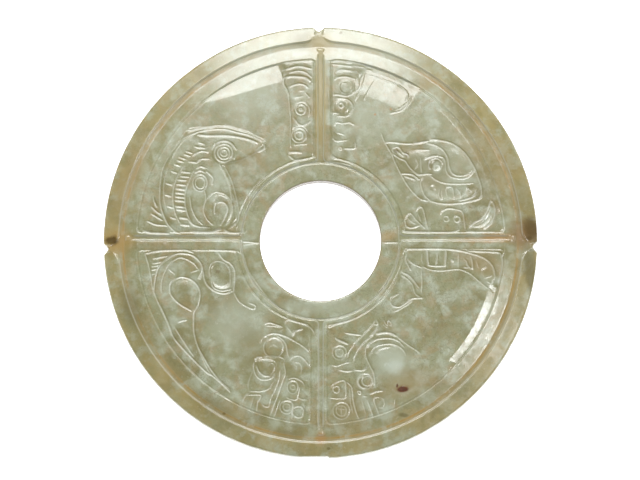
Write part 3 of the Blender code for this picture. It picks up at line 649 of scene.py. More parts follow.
def lower_right_jaw() -> Figure:
    """The toothed jaw along the top of the lower right field, with its leaf and loop."""
    return Figure("lower_right_jaw", {
        Cut.BROAD: [
            [(427.7, 250.8), (427.8, 258), (428.4, 264.8)],
            [(446.4, 250.4), (446, 258), (445, 265.6)],
        ],
        Cut.CLEAR: [
            [(407.4, 248.9), (426.6, 248.6), (445.6, 248.9), (461, 250.8), (472.5, 253.7),
             (484, 258), (491, 263.8), (494, 269.6), (495, 277.6)],
            [(428.4, 265.2), (436, 265.8), (445, 265.8)],
            [(437.5, 253.8), (437.4, 259), (436.2, 264.8)],
            ring(452.3, 260.5, 0.9),
            [(466.6, 260.6), (468, 265.6), (472.4, 268.4), (472.4, 262), (471, 256.8)],
            [(466.7, 250.9), (481, 251.4), (497.6, 252.4), (501.4, 255), (502.6, 261.7),
             (501.4, 272), (498, 285)],
            [(402.6, 272.3), (409, 275.4), (414.7, 282), (418.3, 287)],
            [(390.4, 302.6), (393, 305.7), (398.8, 306.8), (404.6, 303.6), (411, 298.8),
             (416, 297.9), (422, 297.8)],
            [(492, 284), (494.4, 279)],
        ],
        Cut.PLAIN: [
            [(398.8, 293.5), (392.3, 297), (390.2, 301)],
            [(458.8, 253.8), (458.6, 260), (458.2, 267)],
            [(463.8, 258.6), (466.6, 261.6)],
            [(463.4, 266.9), (468, 267.8)],
            [(476.8, 261.7), (478.3, 267.5)],
            [(481.2, 270.3), (486.2, 266.7)],
            [(484.8, 278.3), (492, 275.4)],
            [(486.4, 281.4), (491.6, 283.6)],
            [(406.7, 254.5), (406, 260.2), (408.2, 265.3), (411, 270.3)],
            [(407.5, 258.8), (413.2, 263.8), (421.9, 267.5)],
            [(421.9, 266), (430, 269.4), (440.7, 270.6), (455, 269.2), (461, 269.6),
             (469.6, 273.2), (478.3, 280.5), (487, 287.7), (494.2, 292)],
            [(421.6, 271), (422.2, 283.4), (421.2, 293.5)],
            [(401.7, 275.4), (407.5, 279), (412.5, 284.8), (415.4, 293.5), (422, 297.8)],
            [(392.6, 312), (400, 308.6), (409, 303), (413.4, 298.6)],
        ],
        Cut.FAINT: [
            [(422.6, 253.6), (421.8, 259), (422.8, 263)],
            [(388, 322.6), (391, 325.6), (391.6, 321)],
            [(383, 323.4), (386.4, 327), (389, 324.4)],
        ],
    }, [(0.10, 1.2, [(404, 275), (411, 279), (418, 288), (421, 296), (416.4, 292),
                     (411, 283), (404, 275)])])


def lower_right_column() -> Figure:
    """The boss under its arcs and the stack of masks beside the lower channel."""
    return Figure("lower_right_column", {
        Cut.BROAD: [
            [(376.8, 333.4), (383.9, 332.2), (389.6, 332.6), (396, 335.2)],
            [(371, 336), (375, 331.4), (378.9, 326.4)],
            [(336.4, 338.4), (341, 340.6), (347.4, 343.2)],
            ring(364.7, 380.9, 6.5, 1.0, 110, 290),
        ],
        Cut.CLEAR: [
            [(366.6, 347), (371.1, 341.9), (377.5, 338.7), (386.4, 337.7), (394.1, 338.7),
             (399.2, 341.3)],
            [(329.4, 327), (336.6, 323.6), (349.4, 320.2), (355, 317.6)],
            [(345.5, 332.6), (354.5, 333.9), (361.5, 334.6)],
            [(339.2, 369.4), (346.8, 370.7), (351.9, 369.8)],
            [(354.5, 369.5), (363.4, 369.4), (367.9, 365.6)],
            ring(359.6, 391.7, 1.4),
            [(369.8, 393.2), (376.2, 390.7), (382.6, 389.9)],
        ],
        Cut.PLAIN: [
            [(396, 335.4), (406.8, 343.8), (415.8, 349.6), (420, 353)],
            [(399.2, 341.3), (404.3, 347)],
            [(369.8, 354.7), (374.9, 347), (381.3, 344.3), (389, 343.4), (396.6, 345.1),
             (403, 349.6), (405.6, 354.7)],
            [(379, 349.4), (382.4, 347.6), (389.6, 346.6)],
            [(366, 348.3), (366, 356), (369.8, 364.9), (373.6, 372.6), (374.9, 381.5),
             (374.9, 386.6)],
            [(347.5, 356.6), (350.7, 349.6), (357, 340.7), (364.7, 333), (371.1, 326.6),
             (376.2, 320.2)],
            [(353.8, 361.1), (355.8, 354.7), (362.1, 344.5), (371, 336)],
            [(376.2, 318.9), (378.1, 324), (371.1, 323.6)],
            [(384, 320), (387, 325), (389, 320.4), (391.4, 323.6)],
            ring(339.8, 352.1, 7.0),
            [(331.5, 364.6), (336.6, 365.4), (345.5, 362.4), (350.7, 361.7)],
            ring(364.9, 380.9, 7.8),
            ring(367.2, 380.2, 4.8),
            [(362, 395), (367.2, 395.6)],
            [(331.5, 386.6), (335.3, 382.2), (342.3, 379.6), (345.5, 381.5),
             (346.2, 389.2), (345.5, 396.8), (336.6, 397.5), (328.9, 396.8)],
            ring(336.6, 388.6, 3.2),
            ring(341.7, 409.6, 8.3),
            [(346.2, 380.9), (351.9, 386.6), (353.2, 398.1), (355.8, 409.6),
             (359, 417.9)],
            [(367.2, 399.4), (371.1, 409.6), (373, 416)],
            [(380, 396.2), (374.9, 396.8), (374.3, 400.7), (377.5, 409.6),
             (378.7, 412.8)],
        ],
        Cut.FAINT: [
            [(376, 353), (380, 349), (387, 347.6)],
            ring(339.8, 352.1, 3.8),
            ring(341.7, 409.6, 5.1),
            [(341.7, 405), (341.7, 414)],
            [(337.6, 407.6), (346.6, 408.4)],
            [(361.6, 399), (364, 407), (366, 413)],
            [(380, 396.2), (383.9, 399.4), (383.9, 405.8), (378.7, 407)],
            [(395.3, 398.1), (394, 407)],
            [(366, 378.4), (369, 377.6)],
            [(350, 388), (350.6, 400), (353, 412)],
        ],
    }, [
        (0.10, 4.0, ring(388.5, 360, 16.0)),
        (0.08, 0.9, ring(339.8, 352.1, 8.4)),
        (0.10, 0.8, ring(365.3, 381, 9.0)),
        (-0.06, 0.8, ring(367.4, 380.4, 4.6)),
        (0.08, 0.9, ring(341.7, 409.6, 9.6)),
    ])


@dataclass(frozen=True)
class Margin:
    """The free outer margin of a panel, which falls towards the frame and takes the light.

    It runs between two angles in degrees, starts at a radius that goes from first to last,
    falls by its slope down to its limit, bends over softly within its bend, and fades in
    and out over some degrees at its ends.
    """

    start: float
    end: float
    first: float
    last: float
    slope: float
    limit: float
    bend: float
    fade: float

    def fall(self, radius: np.ndarray, angle: np.ndarray) -> np.ndarray:
        """How far the margin falls at each place.

        The starting radius grows by the cube of the share of the angles that has passed.
        Past it, the fall is the slope times the hypotenuse of that distance and the bend,
        less the bend.

        Args:
            radius: Distances from the disc's middle.
            angle: Angles in degrees.

        Returns:
            The falls in millimetres, zero away from the margin.
        """
        share = np.clip((angle - self.start) / (self.end - self.start), 0.0, 1.0)
        past = radius - self.first - (self.last - self.first) * share ** 3
        span = ease(angle - self.start, self.fade) * ease(self.end - angle, self.fade)
        drop = self.slope * (np.hypot(np.clip(past, 0.0, None), self.bend) - self.bend)
        return span * np.minimum(drop, self.limit)


@dataclass
class CarvedFace:
    """The height map of the carved face, with masks of its cuts, in millimetres."""

    plan: Plan = field(default_factory=Plan)
    hole_radius: float = 18.1
    outer_radius: float = 65.0
    rim_inner: float = 60.6
    field_outer: float = 58.6
    panel_outer: float = 54.9
    collar_groove: float = 23.5
    field_inner: float = 24.1
    panel_inner: float = 25.3
    wall_run: float = 0.50
    channel_depth: float = 0.36
    ring_channel_depth: float = 0.66
    rim_crest_depth: float = 0.35
    rim_edge_depth: float = 1.10
    rim_run: float = 3.7
    rim_corner: float = 4.2
    band_edge_depth: float = 0.66
    collar_depth: float = 0.13
    collar_groove_half: float = 0.40
    collar_groove_depth: float = 0.09
    frame_half: float = 0.42
    frame_depth: float = 0.11
    side_frame_depth: float = 0.05
    notch_angles: tuple[float, ...] = (90.45, 182.1, 358.5)
    notch_width: float = 3.4
    notch_depth: float = 1.4
    gap_half: float = 1.0
    top_limit: float = 0.39
    fields: tuple[Field, ...] = (
        Field(-1, 1, 1.05, 1.75, 1.80, 2.62),
        Field(1, 1, 1.15, 1.75, 3.20, 2.62),
        Field(-1, -1, 0.85, 0.10, 3.00, 2.80),
        Field(1, -1, 1.05, 0.10, 1.80, 2.50),
    )
    margins: tuple[Margin, ...] = (
        Margin(100.8, 131.0, 49.4, 54.8, 0.105, 0.50, 0.35, 3.0),
        Margin(56.5, 80.5, 45.4, 45.4, 0.130, 0.65, 4.0, 6.0),
        Margin(8.0, 50.0, 53.0, 53.0, 0.14, 0.30, 0.3, 4.5),
        Margin(-44.5, -13.0, 52.3, 51.9, 0.132, 0.65, 0.08, 2.5),
        Margin(-160.0, -118.0, 53.0, 53.0, 0.14, 0.30, 0.3, 4.5),
    )
    height: np.ndarray | None = None
    pale: np.ndarray | None = None
    halo: np.ndarray | None = None
    walls: np.ndarray | None = None

    def edge_radius(self, angle: np.ndarray) -> np.ndarray:
        """Radius of the edge at each angle: a circle, less the notches and the wear.

        Each notch takes depth s (1.5 - s / 2), where s falls from 1 in its middle to 0 at
        its side. The wear at the bottom takes half a millimetre and ends in a small step.

        Args:
            angle: Angles in radians.

        Returns:
            Radii in millimetres.
        """
        radius = np.full_like(angle, self.outer_radius - 0.02)
        for degrees in self.notch_angles:
            turned = np.angle(np.exp(1j * (angle - math.radians(degrees))))
            share = np.clip(1.0 - np.abs(turned) * self.outer_radius * 2 / self.notch_width,
                            0.0, 1.0)
            radius = radius - self.notch_depth * share * (1.5 - 0.5 * share)
        bottom = np.degrees(np.angle(np.exp(1j * (angle - math.radians(272.0)))))
        radius = radius - 0.45 * ease(bottom + 9.0, 6.0) * (1.0 - ease(bottom, 0.35))
        wear = (np.sin(37 * angle + 1.3) * np.sin(23 * angle + 0.4)
                + 0.6 * np.sin(91 * angle) * np.sin(57 * angle + 2.0))
        return radius - 0.05 * np.clip(wear, 0.0, None)

    def gap_distance(self, x: np.ndarray, y: np.ndarray) -> np.ndarray:
        """Distance from the middle lines of the gaps that lead out to the notches.

        On a line's own side of the disc it is |cos a y - sin a x|, with a its angle.

        Args:
            x: Places across.
            y: Places up.

        Returns:
            Distances in millimetres from the nearest line, 99 where none is near.
        """
        nearest = np.full(x.shape, 99.0, np.float32)
        for degrees in self.notch_angles:
            way_x, way_y = math.cos(math.radians(degrees)), math.sin(math.radians(degrees))
            across = np.abs(way_x * y - way_y * x)
            nearest = np.minimum(nearest, np.where(way_x * x + way_y * y > 0, across, 99.0))
        return nearest

    def base(self, x: np.ndarray, y: np.ndarray) -> np.ndarray:
        """Height of the uncut face against the top of the panels.

        The channel floor is the base. The rim, the collar and the fields rise from it by
        an eased wall. The rim and the bands fall outwards in proportion to the radius, and
        so do the free margins of the panels.

        Args:
            x: Places across.
            y: Places up.

        Returns:
            Heights, zero on a flat panel.
        """
        radius = np.hypot(x, y)
        angle = np.degrees(np.arctan2(y, x))
        deeper = self.ring_channel_depth - self.channel_depth
        floor = -self.channel_depth - deeper * ease(radius - self.field_outer + 0.8, 0.8)
        fall = ((self.rim_edge_depth - self.rim_crest_depth) * (radius - self.rim_inner)
                / self.rim_run)
        rim_top = -self.rim_crest_depth - np.maximum(fall, 0.0)
        gap = self.gap_distance(x, y) - self.gap_half
        rim_share = ease(soft_min(radius - self.rim_inner + self.wall_run, gap + 0.3,
                                  self.rim_corner), self.wall_run)
        z = floor + (rim_top - floor) * rim_share
        z = np.where(radius < self.collar_groove, -self.collar_depth, z)
        lowered = sum(margin.fall(radius, angle) for margin in self.margins)
        frame_depth = self.frame_depth - (self.frame_depth - self.side_frame_depth) * ease(
            4.4 - np.abs(y), 0.8)
        for part in self.fields:
            block = part.depth(x, y, self.field_outer, self.field_inner, False)
            panel = part.depth(x, y, self.panel_outer, self.panel_inner, True)
            over = np.clip((radius - self.panel_outer)
                           / (self.field_outer - self.panel_outer), 0.0, 1.0)
            top = -self.band_edge_depth * over
            top = top - lowered * ease(panel + 0.3, 0.6)
            top = top - frame_depth * groove(panel, self.frame_half)
            share = ease(block + self.wall_run, self.wall_run)
            z = np.where(block > -self.wall_run, z + (top - z) * share, z)
        return z - self.collar_groove_depth * groove(radius - self.collar_groove,
                                                     self.collar_groove_half)

    def cut_line(self, path: np.ndarray, cut: Cut, depth: np.ndarray) -> None:
        """Cuts one line into a raster of depths.

        At distance d from the line the depth is D (1 - (d / w)^2)^2, with D its depth,
        less towards its two ends, and w half its width.

        Args:
            path: The line's points.
            cut: How it is cut.
            depth: The raster, changed in place.
        """
        half, deep, _ = cut.value
        axis = self.plan.axis
        steps = np.diff(path, axis=0)
        lengths = np.linalg.norm(steps, axis=1)
        along = np.concatenate([[0.0], np.cumsum(lengths)])
        closed = np.allclose(path[0], path[-1])
        ends = np.minimum(along, along[-1] - along)
        strength = np.ones(len(path)) if closed else 0.45 + 0.55 * ease(ends, 0.9)
        for first in range(0, len(steps), 8):
            start, step = path[:-1][first:first + 8], steps[first:first + 8]
            rows, columns = self.plan.window(path[first:first + 9], half)
            dx = axis[None, None, columns] - start[:, 0, None, None]
            dy = axis[None, rows, None] - start[:, 1, None, None]
            squared = (lengths[first:first + 8] ** 2)[:, None, None]
            share = np.clip((dx * step[:, 0, None, None] + dy * step[:, 1, None, None])
                            / squared, 0.0, 1.0)
            apart = ((dx - share * step[:, 0, None, None]) ** 2
                     + (dy - share * step[:, 1, None, None]) ** 2)
            weight = (strength[first:first + 9][:-1, None, None] * (1 - share)
                      + strength[first:first + 9][1:, None, None] * share)
            here = deep * weight * np.clip(1.0 - apart / half ** 2, 0.0, 1.0) ** 2
            depth[rows, columns] = np.maximum(depth[rows, columns], here.max(axis=0))

    def swell(self, outline: np.ndarray, rise: float, run: float,
              height: np.ndarray) -> None:
        """Raises the inside of an outline as a low pillow.

        The rise is a quarter sine of the distance from the outline over its run.

        Args:
            outline: Closed outline.
            rise: Height in the middle.
            run: Width of the rounded side.
            height: The raster, added to in place.
        """
        rows, columns = self.plan.window(outline, 0.2)
        x, y = np.meshgrid(self.plan.axis[columns], self.plan.axis[rows])
        nearest = np.full(x.shape, 99.0, np.float32)
        odd = np.zeros(x.shape, bool)
        for (x1, y1), (x2, y2) in zip(outline[:-1], outline[1:]):
            share = ((x - x1) * (x2 - x1) + (y - y1) * (y2 - y1))
            share = np.clip(share / max((x2 - x1) ** 2 + (y2 - y1) ** 2, 1e-9), 0.0, 1.0)
            nearest = np.minimum(nearest, np.hypot(x - x1 - share * (x2 - x1),
                                                   y - y1 - share * (y2 - y1)))
            if x1 != x2:
                above = y < y1 + (x - x1) / (x2 - x1) * (y2 - y1)
                odd ^= ((x1 > x) != (x2 > x)) & above
        lift = rise * np.sin(0.5 * math.pi * np.clip(nearest / run, 0.0, 1.0))
        height[rows, columns] += np.where(odd, lift, 0.0)

    def unevenness(self) -> np.ndarray:
        """Slight hollows and swells of the hand-ground face: seeded soft noise.

        Two grids of random heights, one fine and one coarse, are joined by the ease
        s s (3 - 2 s) along both axes and added up.

        Returns:
            Heights in millimetres, one for each cell of the plan.
        """
        source = np.random.default_rng(11)
        wave = np.zeros((len(self.plan.axis),) * 2, np.float32)
        for cells, size in ((9, 0.030), (22, 0.010)):
            knots = source.normal(0.0, size, (cells + 3, cells + 3))
            place = np.linspace(0.0, cells, len(self.plan.axis))
            low = np.minimum(place.astype(int), cells - 1)
            share = place - low
            share = share * share * (3 - 2 * share)
            lines = knots[low] * (1 - share)[:, None] + knots[low + 1] * share[:, None]
            wave += (lines[:, low] * (1 - share) + lines[:, low + 1] * share)
        return self.plan.blurred(wave, 0.6)

    def carve(self, figures: list[Figure]) -> None:
        """Works out the height map and the mask of pale cuts.

        Args:
            figures: Every figure of the carving.
        """
        x, y = np.meshgrid(self.plan.axis, self.plan.axis)
        height = self.base(x, y)
        cuts = np.zeros_like(height)
        pale = np.zeros_like(height)
        for figure in figures:
            for rise, run, outline in figure.swells:
                self.swell(smooth_path(to_disc(outline)), rise, run, height)
            for cut, lines in figure.lines.items():
                own = np.zeros_like(height)
                for line in lines:
                    self.cut_line(smooth_path(to_disc(line)), cut, own)
                cuts = np.maximum(cuts, own)
                pale = np.maximum(pale, cut.value[2] * own / cut.value[1])
            LOG.info("carved %s: %d lines", figure.name,
                     sum(len(lines) for lines in figure.lines.values()))
        height = self.plan.blurred(height - cuts, 0.07) + self.unevenness()
        slope = np.hypot(*np.gradient(height, self.plan.pitch))
        self.walls = ease(slope - 0.25, 0.5).astype(np.float32)
        self.height = np.minimum(height, self.top_limit).astype(np.float32)
        self.pale = self.plan.blurred(pale, 0.06).astype(np.float32)
        self.halo = np.clip(1.6 * self.plan.blurred(self.pale, 0.5) - self.pale, 0.0, 1.0)


@dataclass
class JadeDisc:
    """The disc as one closed, finely carved mesh."""

    face: CarvedFace = field(default_factory=CarvedFace)
    thickness: float = 6.0
    hole_round: float = 0.4
    back_chamfer: float = 0.4
    round_width: float = 0.7
    round_depth: float = 0.8
    columns: int = 1500
    row_step: float = 0.21
    triangles: int = 192000

    def profile(self) -> tuple[np.ndarray, np.ndarray]:
        """Shares across the carved face, and how far each row is into the rounded edge."""
        rows = round((self.face.outer_radius - self.face.hole_radius) / self.row_step)
        inner = np.linspace(0.0, 1.0, rows)
        return inner, np.linspace(0.0, 1.0, 7)[1:]

    def points(self) -> np.ndarray:
        """The vertices, as a grid of angle by place on the closed profile.

        Rows run from the hole out over the face, round the edge, down the outer wall, in
        across the back and up the wall of the hole. On the face the radius goes evenly
        from the rounded edge of the hole to that of the disc, and the height is read from
        the height map. The rounded edges are a quarter circle and a quarter ellipse.

        Returns:
            Places in millimetres, columns by rows by three.
        """
        angle = np.arange(self.columns) * 2 * math.pi / self.columns
        edge = self.face.edge_radius(angle)[:, None]
        share, turn = self.profile()
        first = self.face.hole_radius + self.hole_round
        radius = first + (edge - self.round_width - first) * share[None]
        way = np.stack([np.cos(angle), np.sin(angle)], axis=1)[:, None, :]
        plan = self.face.plan
        flat = radius[..., None] * way
        top = self.thickness + plan.sample(self.face.height, flat[..., 0], flat[..., 1])
        quarter = turn[None] * math.pi / 2
        bent = edge - self.round_width * (1 - np.sin(quarter))
        bent_top = top[:, -1:] - self.round_depth * (1 - np.cos(quarter))
        low = self.back_chamfer
        wall = np.linspace(1.0, 0.0, 4)[None, 1:]
        wall_top = low + (bent_top[:, -1:] - low) * wall
        hole_low, hole = self.face.hole_radius + low, self.face.hole_radius
        back = np.linspace(0.0, 1.0, 6)[None]
        back_radius = (edge - low) + (hole_low - edge + low) * back
        shaft_top = top[:, :1] - self.hole_round
        shaft = low + (shaft_top - low) * np.linspace(0.0, 1.0, 6)[None]
        rolled = np.linspace(0.0, 1.0, 7)[None, 1:-1] * math.pi / 2
        lip = hole + self.hole_round * (1 - np.cos(rolled)) + 0 * edge
        lip_top = shaft_top + self.hole_round * np.sin(rolled)
        radii = [radius, bent, edge + 0 * wall, back_radius, hole + 0 * shaft, lip]
        tops = [top, bent_top, wall_top, 0 * back_radius, shaft, lip_top]
        radii, tops = np.concatenate(radii, axis=1), np.concatenate(tops, axis=1)
        return np.concatenate([radii[..., None] * way, tops[..., None]], axis=2)

    def build(self) -> bpy.types.Object:
        """Fills the mesh, thins it where it is flat, and gives it normals and masks.

        Returns:
            The disc, at the origin, with its place in its mesh.
        """
        grid = self.points()
        columns, rows = grid.shape[:2]
        number = np.arange(columns * rows).reshape(columns, rows)
        after, ahead = np.roll(number, -1, axis=0), np.roll(number, -1, axis=1)
        across = np.roll(after, -1, axis=1)
        quads = np.stack([number, ahead, across, after], axis=-1).reshape(-1, 4)
        mesh = filled_mesh("carved_jade_disc", grid.reshape(-1, 3) * MM, quads)
        disc = bpy.data.objects.new("carved_jade_disc", mesh)
        bpy.context.scene.collection.objects.link(disc)
        flat = grid.reshape(-1, 3)
        marked = np.maximum(self.face.pale, self.face.walls)
        kept = self.face.plan.sample(marked, flat[:, 0], flat[:, 1]) > 0.12
        kept &= flat[:, 2] > 3.0
        disc.vertex_groups.new(name="cuts").add(np.flatnonzero(kept).tolist(), 1.0, "REPLACE")
        thin = disc.modifiers.new("thin_flat_parts", "DECIMATE")
        thin.ratio = self.triangles / (2 * len(quads))
        thin.vertex_group = "cuts"
        thin.invert_vertex_group = True
        thin.vertex_group_factor = 3.0
        graph = bpy.context.evaluated_depsgraph_get()
        thinned = bpy.data.meshes.new_from_object(disc.evaluated_get(graph))
        disc.modifiers.clear()
        disc.vertex_groups.clear()
        disc.data = thinned
        bpy.data.meshes.remove(mesh)
        thinned.name = "carved_jade_disc"
        self.finish_surface(thinned)
        LOG.info("carved_jade_disc: %d faces", len(thinned.polygons))
        return disc

    def finish_surface(self, mesh: bpy.types.Mesh) -> None:
        """Gives smooth normals from the height map, and masks for the material.

        The normal is (-dh/dx, -dh/dy, 1) brought to length one. Sunk, how far the face lies
        below its own smoothed height, gives dirt and painted shade in the hollows. Pale and
        shaded are the mask of the cuts moved a little to their lower left and upper right,
        towards the lights and away from them: paler cuts with a painted highlight on their
        lit flanks, and painted shade on their other flanks. Halo is that mask's soft
        surround. Side marks painted shade on the upper outer wall and the hole's wall, and
        the lower wall mask painted light on the lower outer wall; both ease in over a
        quarter of a millimetre.

        Args:
            mesh: The thinned disc, in metres.
        """
        mesh.shade_smooth()
        count = len(mesh.vertices)
        places = np.empty(count * 3, np.float32)
        mesh.vertices.foreach_get("co", places)
        places = places.reshape(-1, 3) / MM
        normals = np.empty(count * 3, np.float32)
        mesh.vertex_normals.foreach_get("vector", normals)
        normals = normals.reshape(-1, 3)
        face, plan = self.face, self.face.plan
        rise_y, rise_x = np.gradient(face.height, plan.pitch)
        x, y, z = places.T
        true = np.stack([-plan.sample(rise_x, x, y), -plan.sample(rise_y, x, y),
                         np.ones(count)], axis=1)
        true /= np.linalg.norm(true, axis=1)[:, None]
        radius = np.hypot(x, y)
        limit = face.edge_radius(np.arctan2(y, x)) - self.round_width - 0.3
        on_face = ((z > 3.0) & (radius < limit)
                   & (radius > face.hole_radius + self.hole_round + 0.3))
        normals[on_face] = true[on_face]
        mesh.normals_split_custom_set_from_vertices(normals)
        # Dirt and painted shade in the hollows, by how far the face lies below its smoothed
        # height.
        sunk = plan.blurred(face.height, 0.7) - face.height
        masks = {"hollow_dirt_and_shade": np.clip(plan.blurred(sunk, 0.2) / 0.05, 0.0, 1.0),
                 "halo": face.halo, "walls": face.walls}
        values = {name: np.where(z > 3.0, plan.sample(raster, x, y), 0.0)
                  for name, raster in masks.items()}
        # Pale cuts, moved towards their flanks that face the lights: paler stone with a
        # painted highlight.
        values["pale"] = np.where(z > 3.0, plan.sample(face.pale, x + 0.14, y + 0.10), 0.0)
        # The cuts moved towards their flanks away from the lights: painted shade.
        shaded = np.where(z > 3.0, plan.sample(face.pale, x - 0.26, y - 0.20), 0.0)
        values["shaded"] = np.clip(shaded - 0.6 * values["pale"], 0.0, 1.0)
        # Painted shade on the upper outer wall and the hole's wall; painted light on the
        # lower outer wall.
        outside = ease(0.30 - face.edge_radius(np.arctan2(y, x)) + radius, 0.25)
        upper = ease(y + 5.0, 10.0)
        values["side"] = np.maximum(outside * upper,
                                    ease(face.hole_radius + 0.30 - radius, 0.25))
        values["painted_light_lower_wall"] = outside * (1.0 - upper)
        for name, value in values.items():
            layer = mesh.attributes.new(name, "FLOAT", "POINT")
            layer.data.foreach_set("value", value.astype(np.float32))


def filled_mesh(name: str, places: np.ndarray, quads: np.ndarray) -> bpy.types.Mesh:
    """A mesh from arrays of places and four-cornered faces.

    Args:
        name: The mesh's name.
        places: Vertices by three, in metres.
        quads: Faces by four vertex numbers.

    Returns:
        The mesh.
    """
    mesh = bpy.data.meshes.new(name)
    mesh.vertices.add(len(places))
    mesh.vertices.foreach_set("co", places.astype(np.float32).ravel())
    mesh.loops.add(quads.size)
    mesh.loops.foreach_set("vertex_index", quads.astype(np.int32).ravel())
    mesh.polygons.add(len(quads))
    mesh.polygons.foreach_set("loop_start", np.arange(0, quads.size, 4, dtype=np.int32))
    mesh.update(calc_edges=True)
    return mesh


Socket = bpy.types.NodeSocket


class Tint(Enum):
    """Colours of the stone and of its stains, and of painted shade and light, linear."""

    ICE = (0.480, 0.530, 0.450)
    # Pale clouds of the stone; on the top rim also a painted highlight.
    CLOUD_AND_HIGHLIGHT = (0.370, 0.400, 0.300)
    CELADON = (0.262, 0.272, 0.152)
    # Olive stone; also painted shade in the hollows and beside the top notch.
    OLIVE = (0.200, 0.183, 0.076)
    # Dirt and stains; also painted shade on the cuts' flanks away from the lights.
    DIRT_AND_SHADE = (0.150, 0.130, 0.046)
    TAN = (0.290, 0.222, 0.098)
    YELLOW = (0.330, 0.265, 0.100)
    # Painted shade on the upper outer wall and on the wall of the hole.
    WALL_SHADE = (0.150, 0.100, 0.070)
    ORANGE = (0.350, 0.190, 0.055)
    OCHRE = (0.330, 0.210, 0.052)
    RUST = (0.200, 0.112, 0.030)
    BROWN = (0.085, 0.050, 0.004)
    DARK_RED = (0.085, 0.020, 0.0)
    # Pale cuts and cut walls; also a painted highlight on the cuts' lit flanks and painted
    # light on the lower outer wall.
    PALE = (0.560, 0.575, 0.490)


@dataclass
class Wiring:
    """Short ways to add and join shader nodes in one tree."""

    tree: bpy.types.NodeTree

    def add(self, kind: str, **settings: object) -> bpy.types.Node:
        """Adds a node.

        Args:
            kind: The node's type.
            **settings: Properties to set on it.

        Returns:
            The node.
        """
        node = self.tree.nodes.new(kind)
        for key, value in settings.items():
            setattr(node, key, value)
        return node

    def put(self, socket: Socket, value: object) -> None:
        """Joins a socket to another, or sets its plain value.

        Args:
            socket: The socket that takes the value.
            value: A socket that gives it, or a number, vector or colour.
        """
        if isinstance(value, bpy.types.NodeSocket):
            self.tree.links.new(value, socket)
        else:
            socket.default_value = value

    def maths(self, way: str, first: object, second: object = 0.0) -> Socket:
        """One step of arithmetic on numbers.

        Args:
            way: The operation.
            first: The first number or socket.
            second: The second one.

        Returns:
            The result's socket.
        """
        node = self.add("ShaderNodeMath", operation=way)
        self.put(node.inputs[0], first)
        self.put(node.inputs[1], second)
        return node.outputs[0]

    def vector(self, way: str, first: object, second: object = (0.0, 0.0, 0.0)) -> Socket:
        """One step of arithmetic on vectors.

        Args:
            way: The operation.
            first: The first vector or socket.
            second: The second one.

        Returns:
            The result's socket, a number for a length.
        """
        node = self.add("ShaderNodeVectorMath", operation=way)
        self.put(node.inputs[0], first)
        self.put(node.inputs[1], second)
        return node.outputs["Value" if way == "LENGTH" else "Vector"]

    def steps(self, value: object, low: float, high: float, start: float = 0.0,
              end: float = 1.0) -> Socket:
        """A value eased from start to end as it goes from low to high.

        Args:
            value: The value's socket.
            low: Where the easing begins.
            high: Where it is over.
            start: What comes out at low and before.
            end: What comes out at high and past it.

        Returns:
            The eased value's socket.
        """
        node = self.add("ShaderNodeMapRange", interpolation_type="SMOOTHSTEP")
        for name, number in (("Value", value), ("From Min", low), ("From Max", high),
                             ("To Min", start), ("To Max", end)):
            self.put(node.inputs[name], number)
        return node.outputs["Result"]

    def noise(self, place: Socket, scale: float, detail: float = 3.0,
              rough: float = 0.55, warp: float = 0.0) -> Socket:
        """Soft noise between 0 and 1.

        Args:
            place: Where it is read, in millimetres.
            scale: Grains to a millimetre.
            detail: How many finer layers are added.
            rough: How strong the finer layers are.
            warp: How far the places are bent first.

        Returns:
            The noise's socket.
        """
        return self.noise_node(place, scale, detail, rough, warp).outputs["Fac"]

    def noise_node(self, place: Socket, scale: float, detail: float, rough: float,
                   warp: float) -> bpy.types.Node:
        """The node behind the soft noise, whose colour is three noises in one.

        Args:
            place: Where it is read, in millimetres.
            scale: Grains to a millimetre.
            detail: How many finer layers are added.
            rough: How strong the finer layers are.
            warp: How far the places are bent first.

        Returns:
            The node.
        """
        node = self.add("ShaderNodeTexNoise")
        for name, value in (("Vector", place), ("Scale", scale), ("Detail", detail),
                            ("Roughness", rough), ("Distortion", warp)):
            self.put(node.inputs[name], value)
        return node

    def blend(self, share: object, under: object, over: object,
              way: str = "MIX") -> Socket:
        """One colour laid over another.

        Args:
            share: How much of the upper one shows.
            under: The lower colour.
            over: The upper colour.
            way: How the two are mixed.

        Returns:
            The mixed colour's socket.
        """
        node = self.add("ShaderNodeMix", data_type="RGBA", blend_type=way)
        self.put(node.inputs[0], share)
        self.put(node.inputs[6], under)
        self.put(node.inputs[7], over)
        return node.outputs[2]

    def lay(self, tint: Tint, share: object, colour: Socket) -> Socket:
        """A tint laid over a colour by a share."""
        return self.blend(share, colour, (*tint.value, 1.0))

    def attribute(self, name: str) -> Socket:
        """A mask kept with the mesh."""
        return self.add("ShaderNodeAttribute", attribute_name=name).outputs["Fac"]


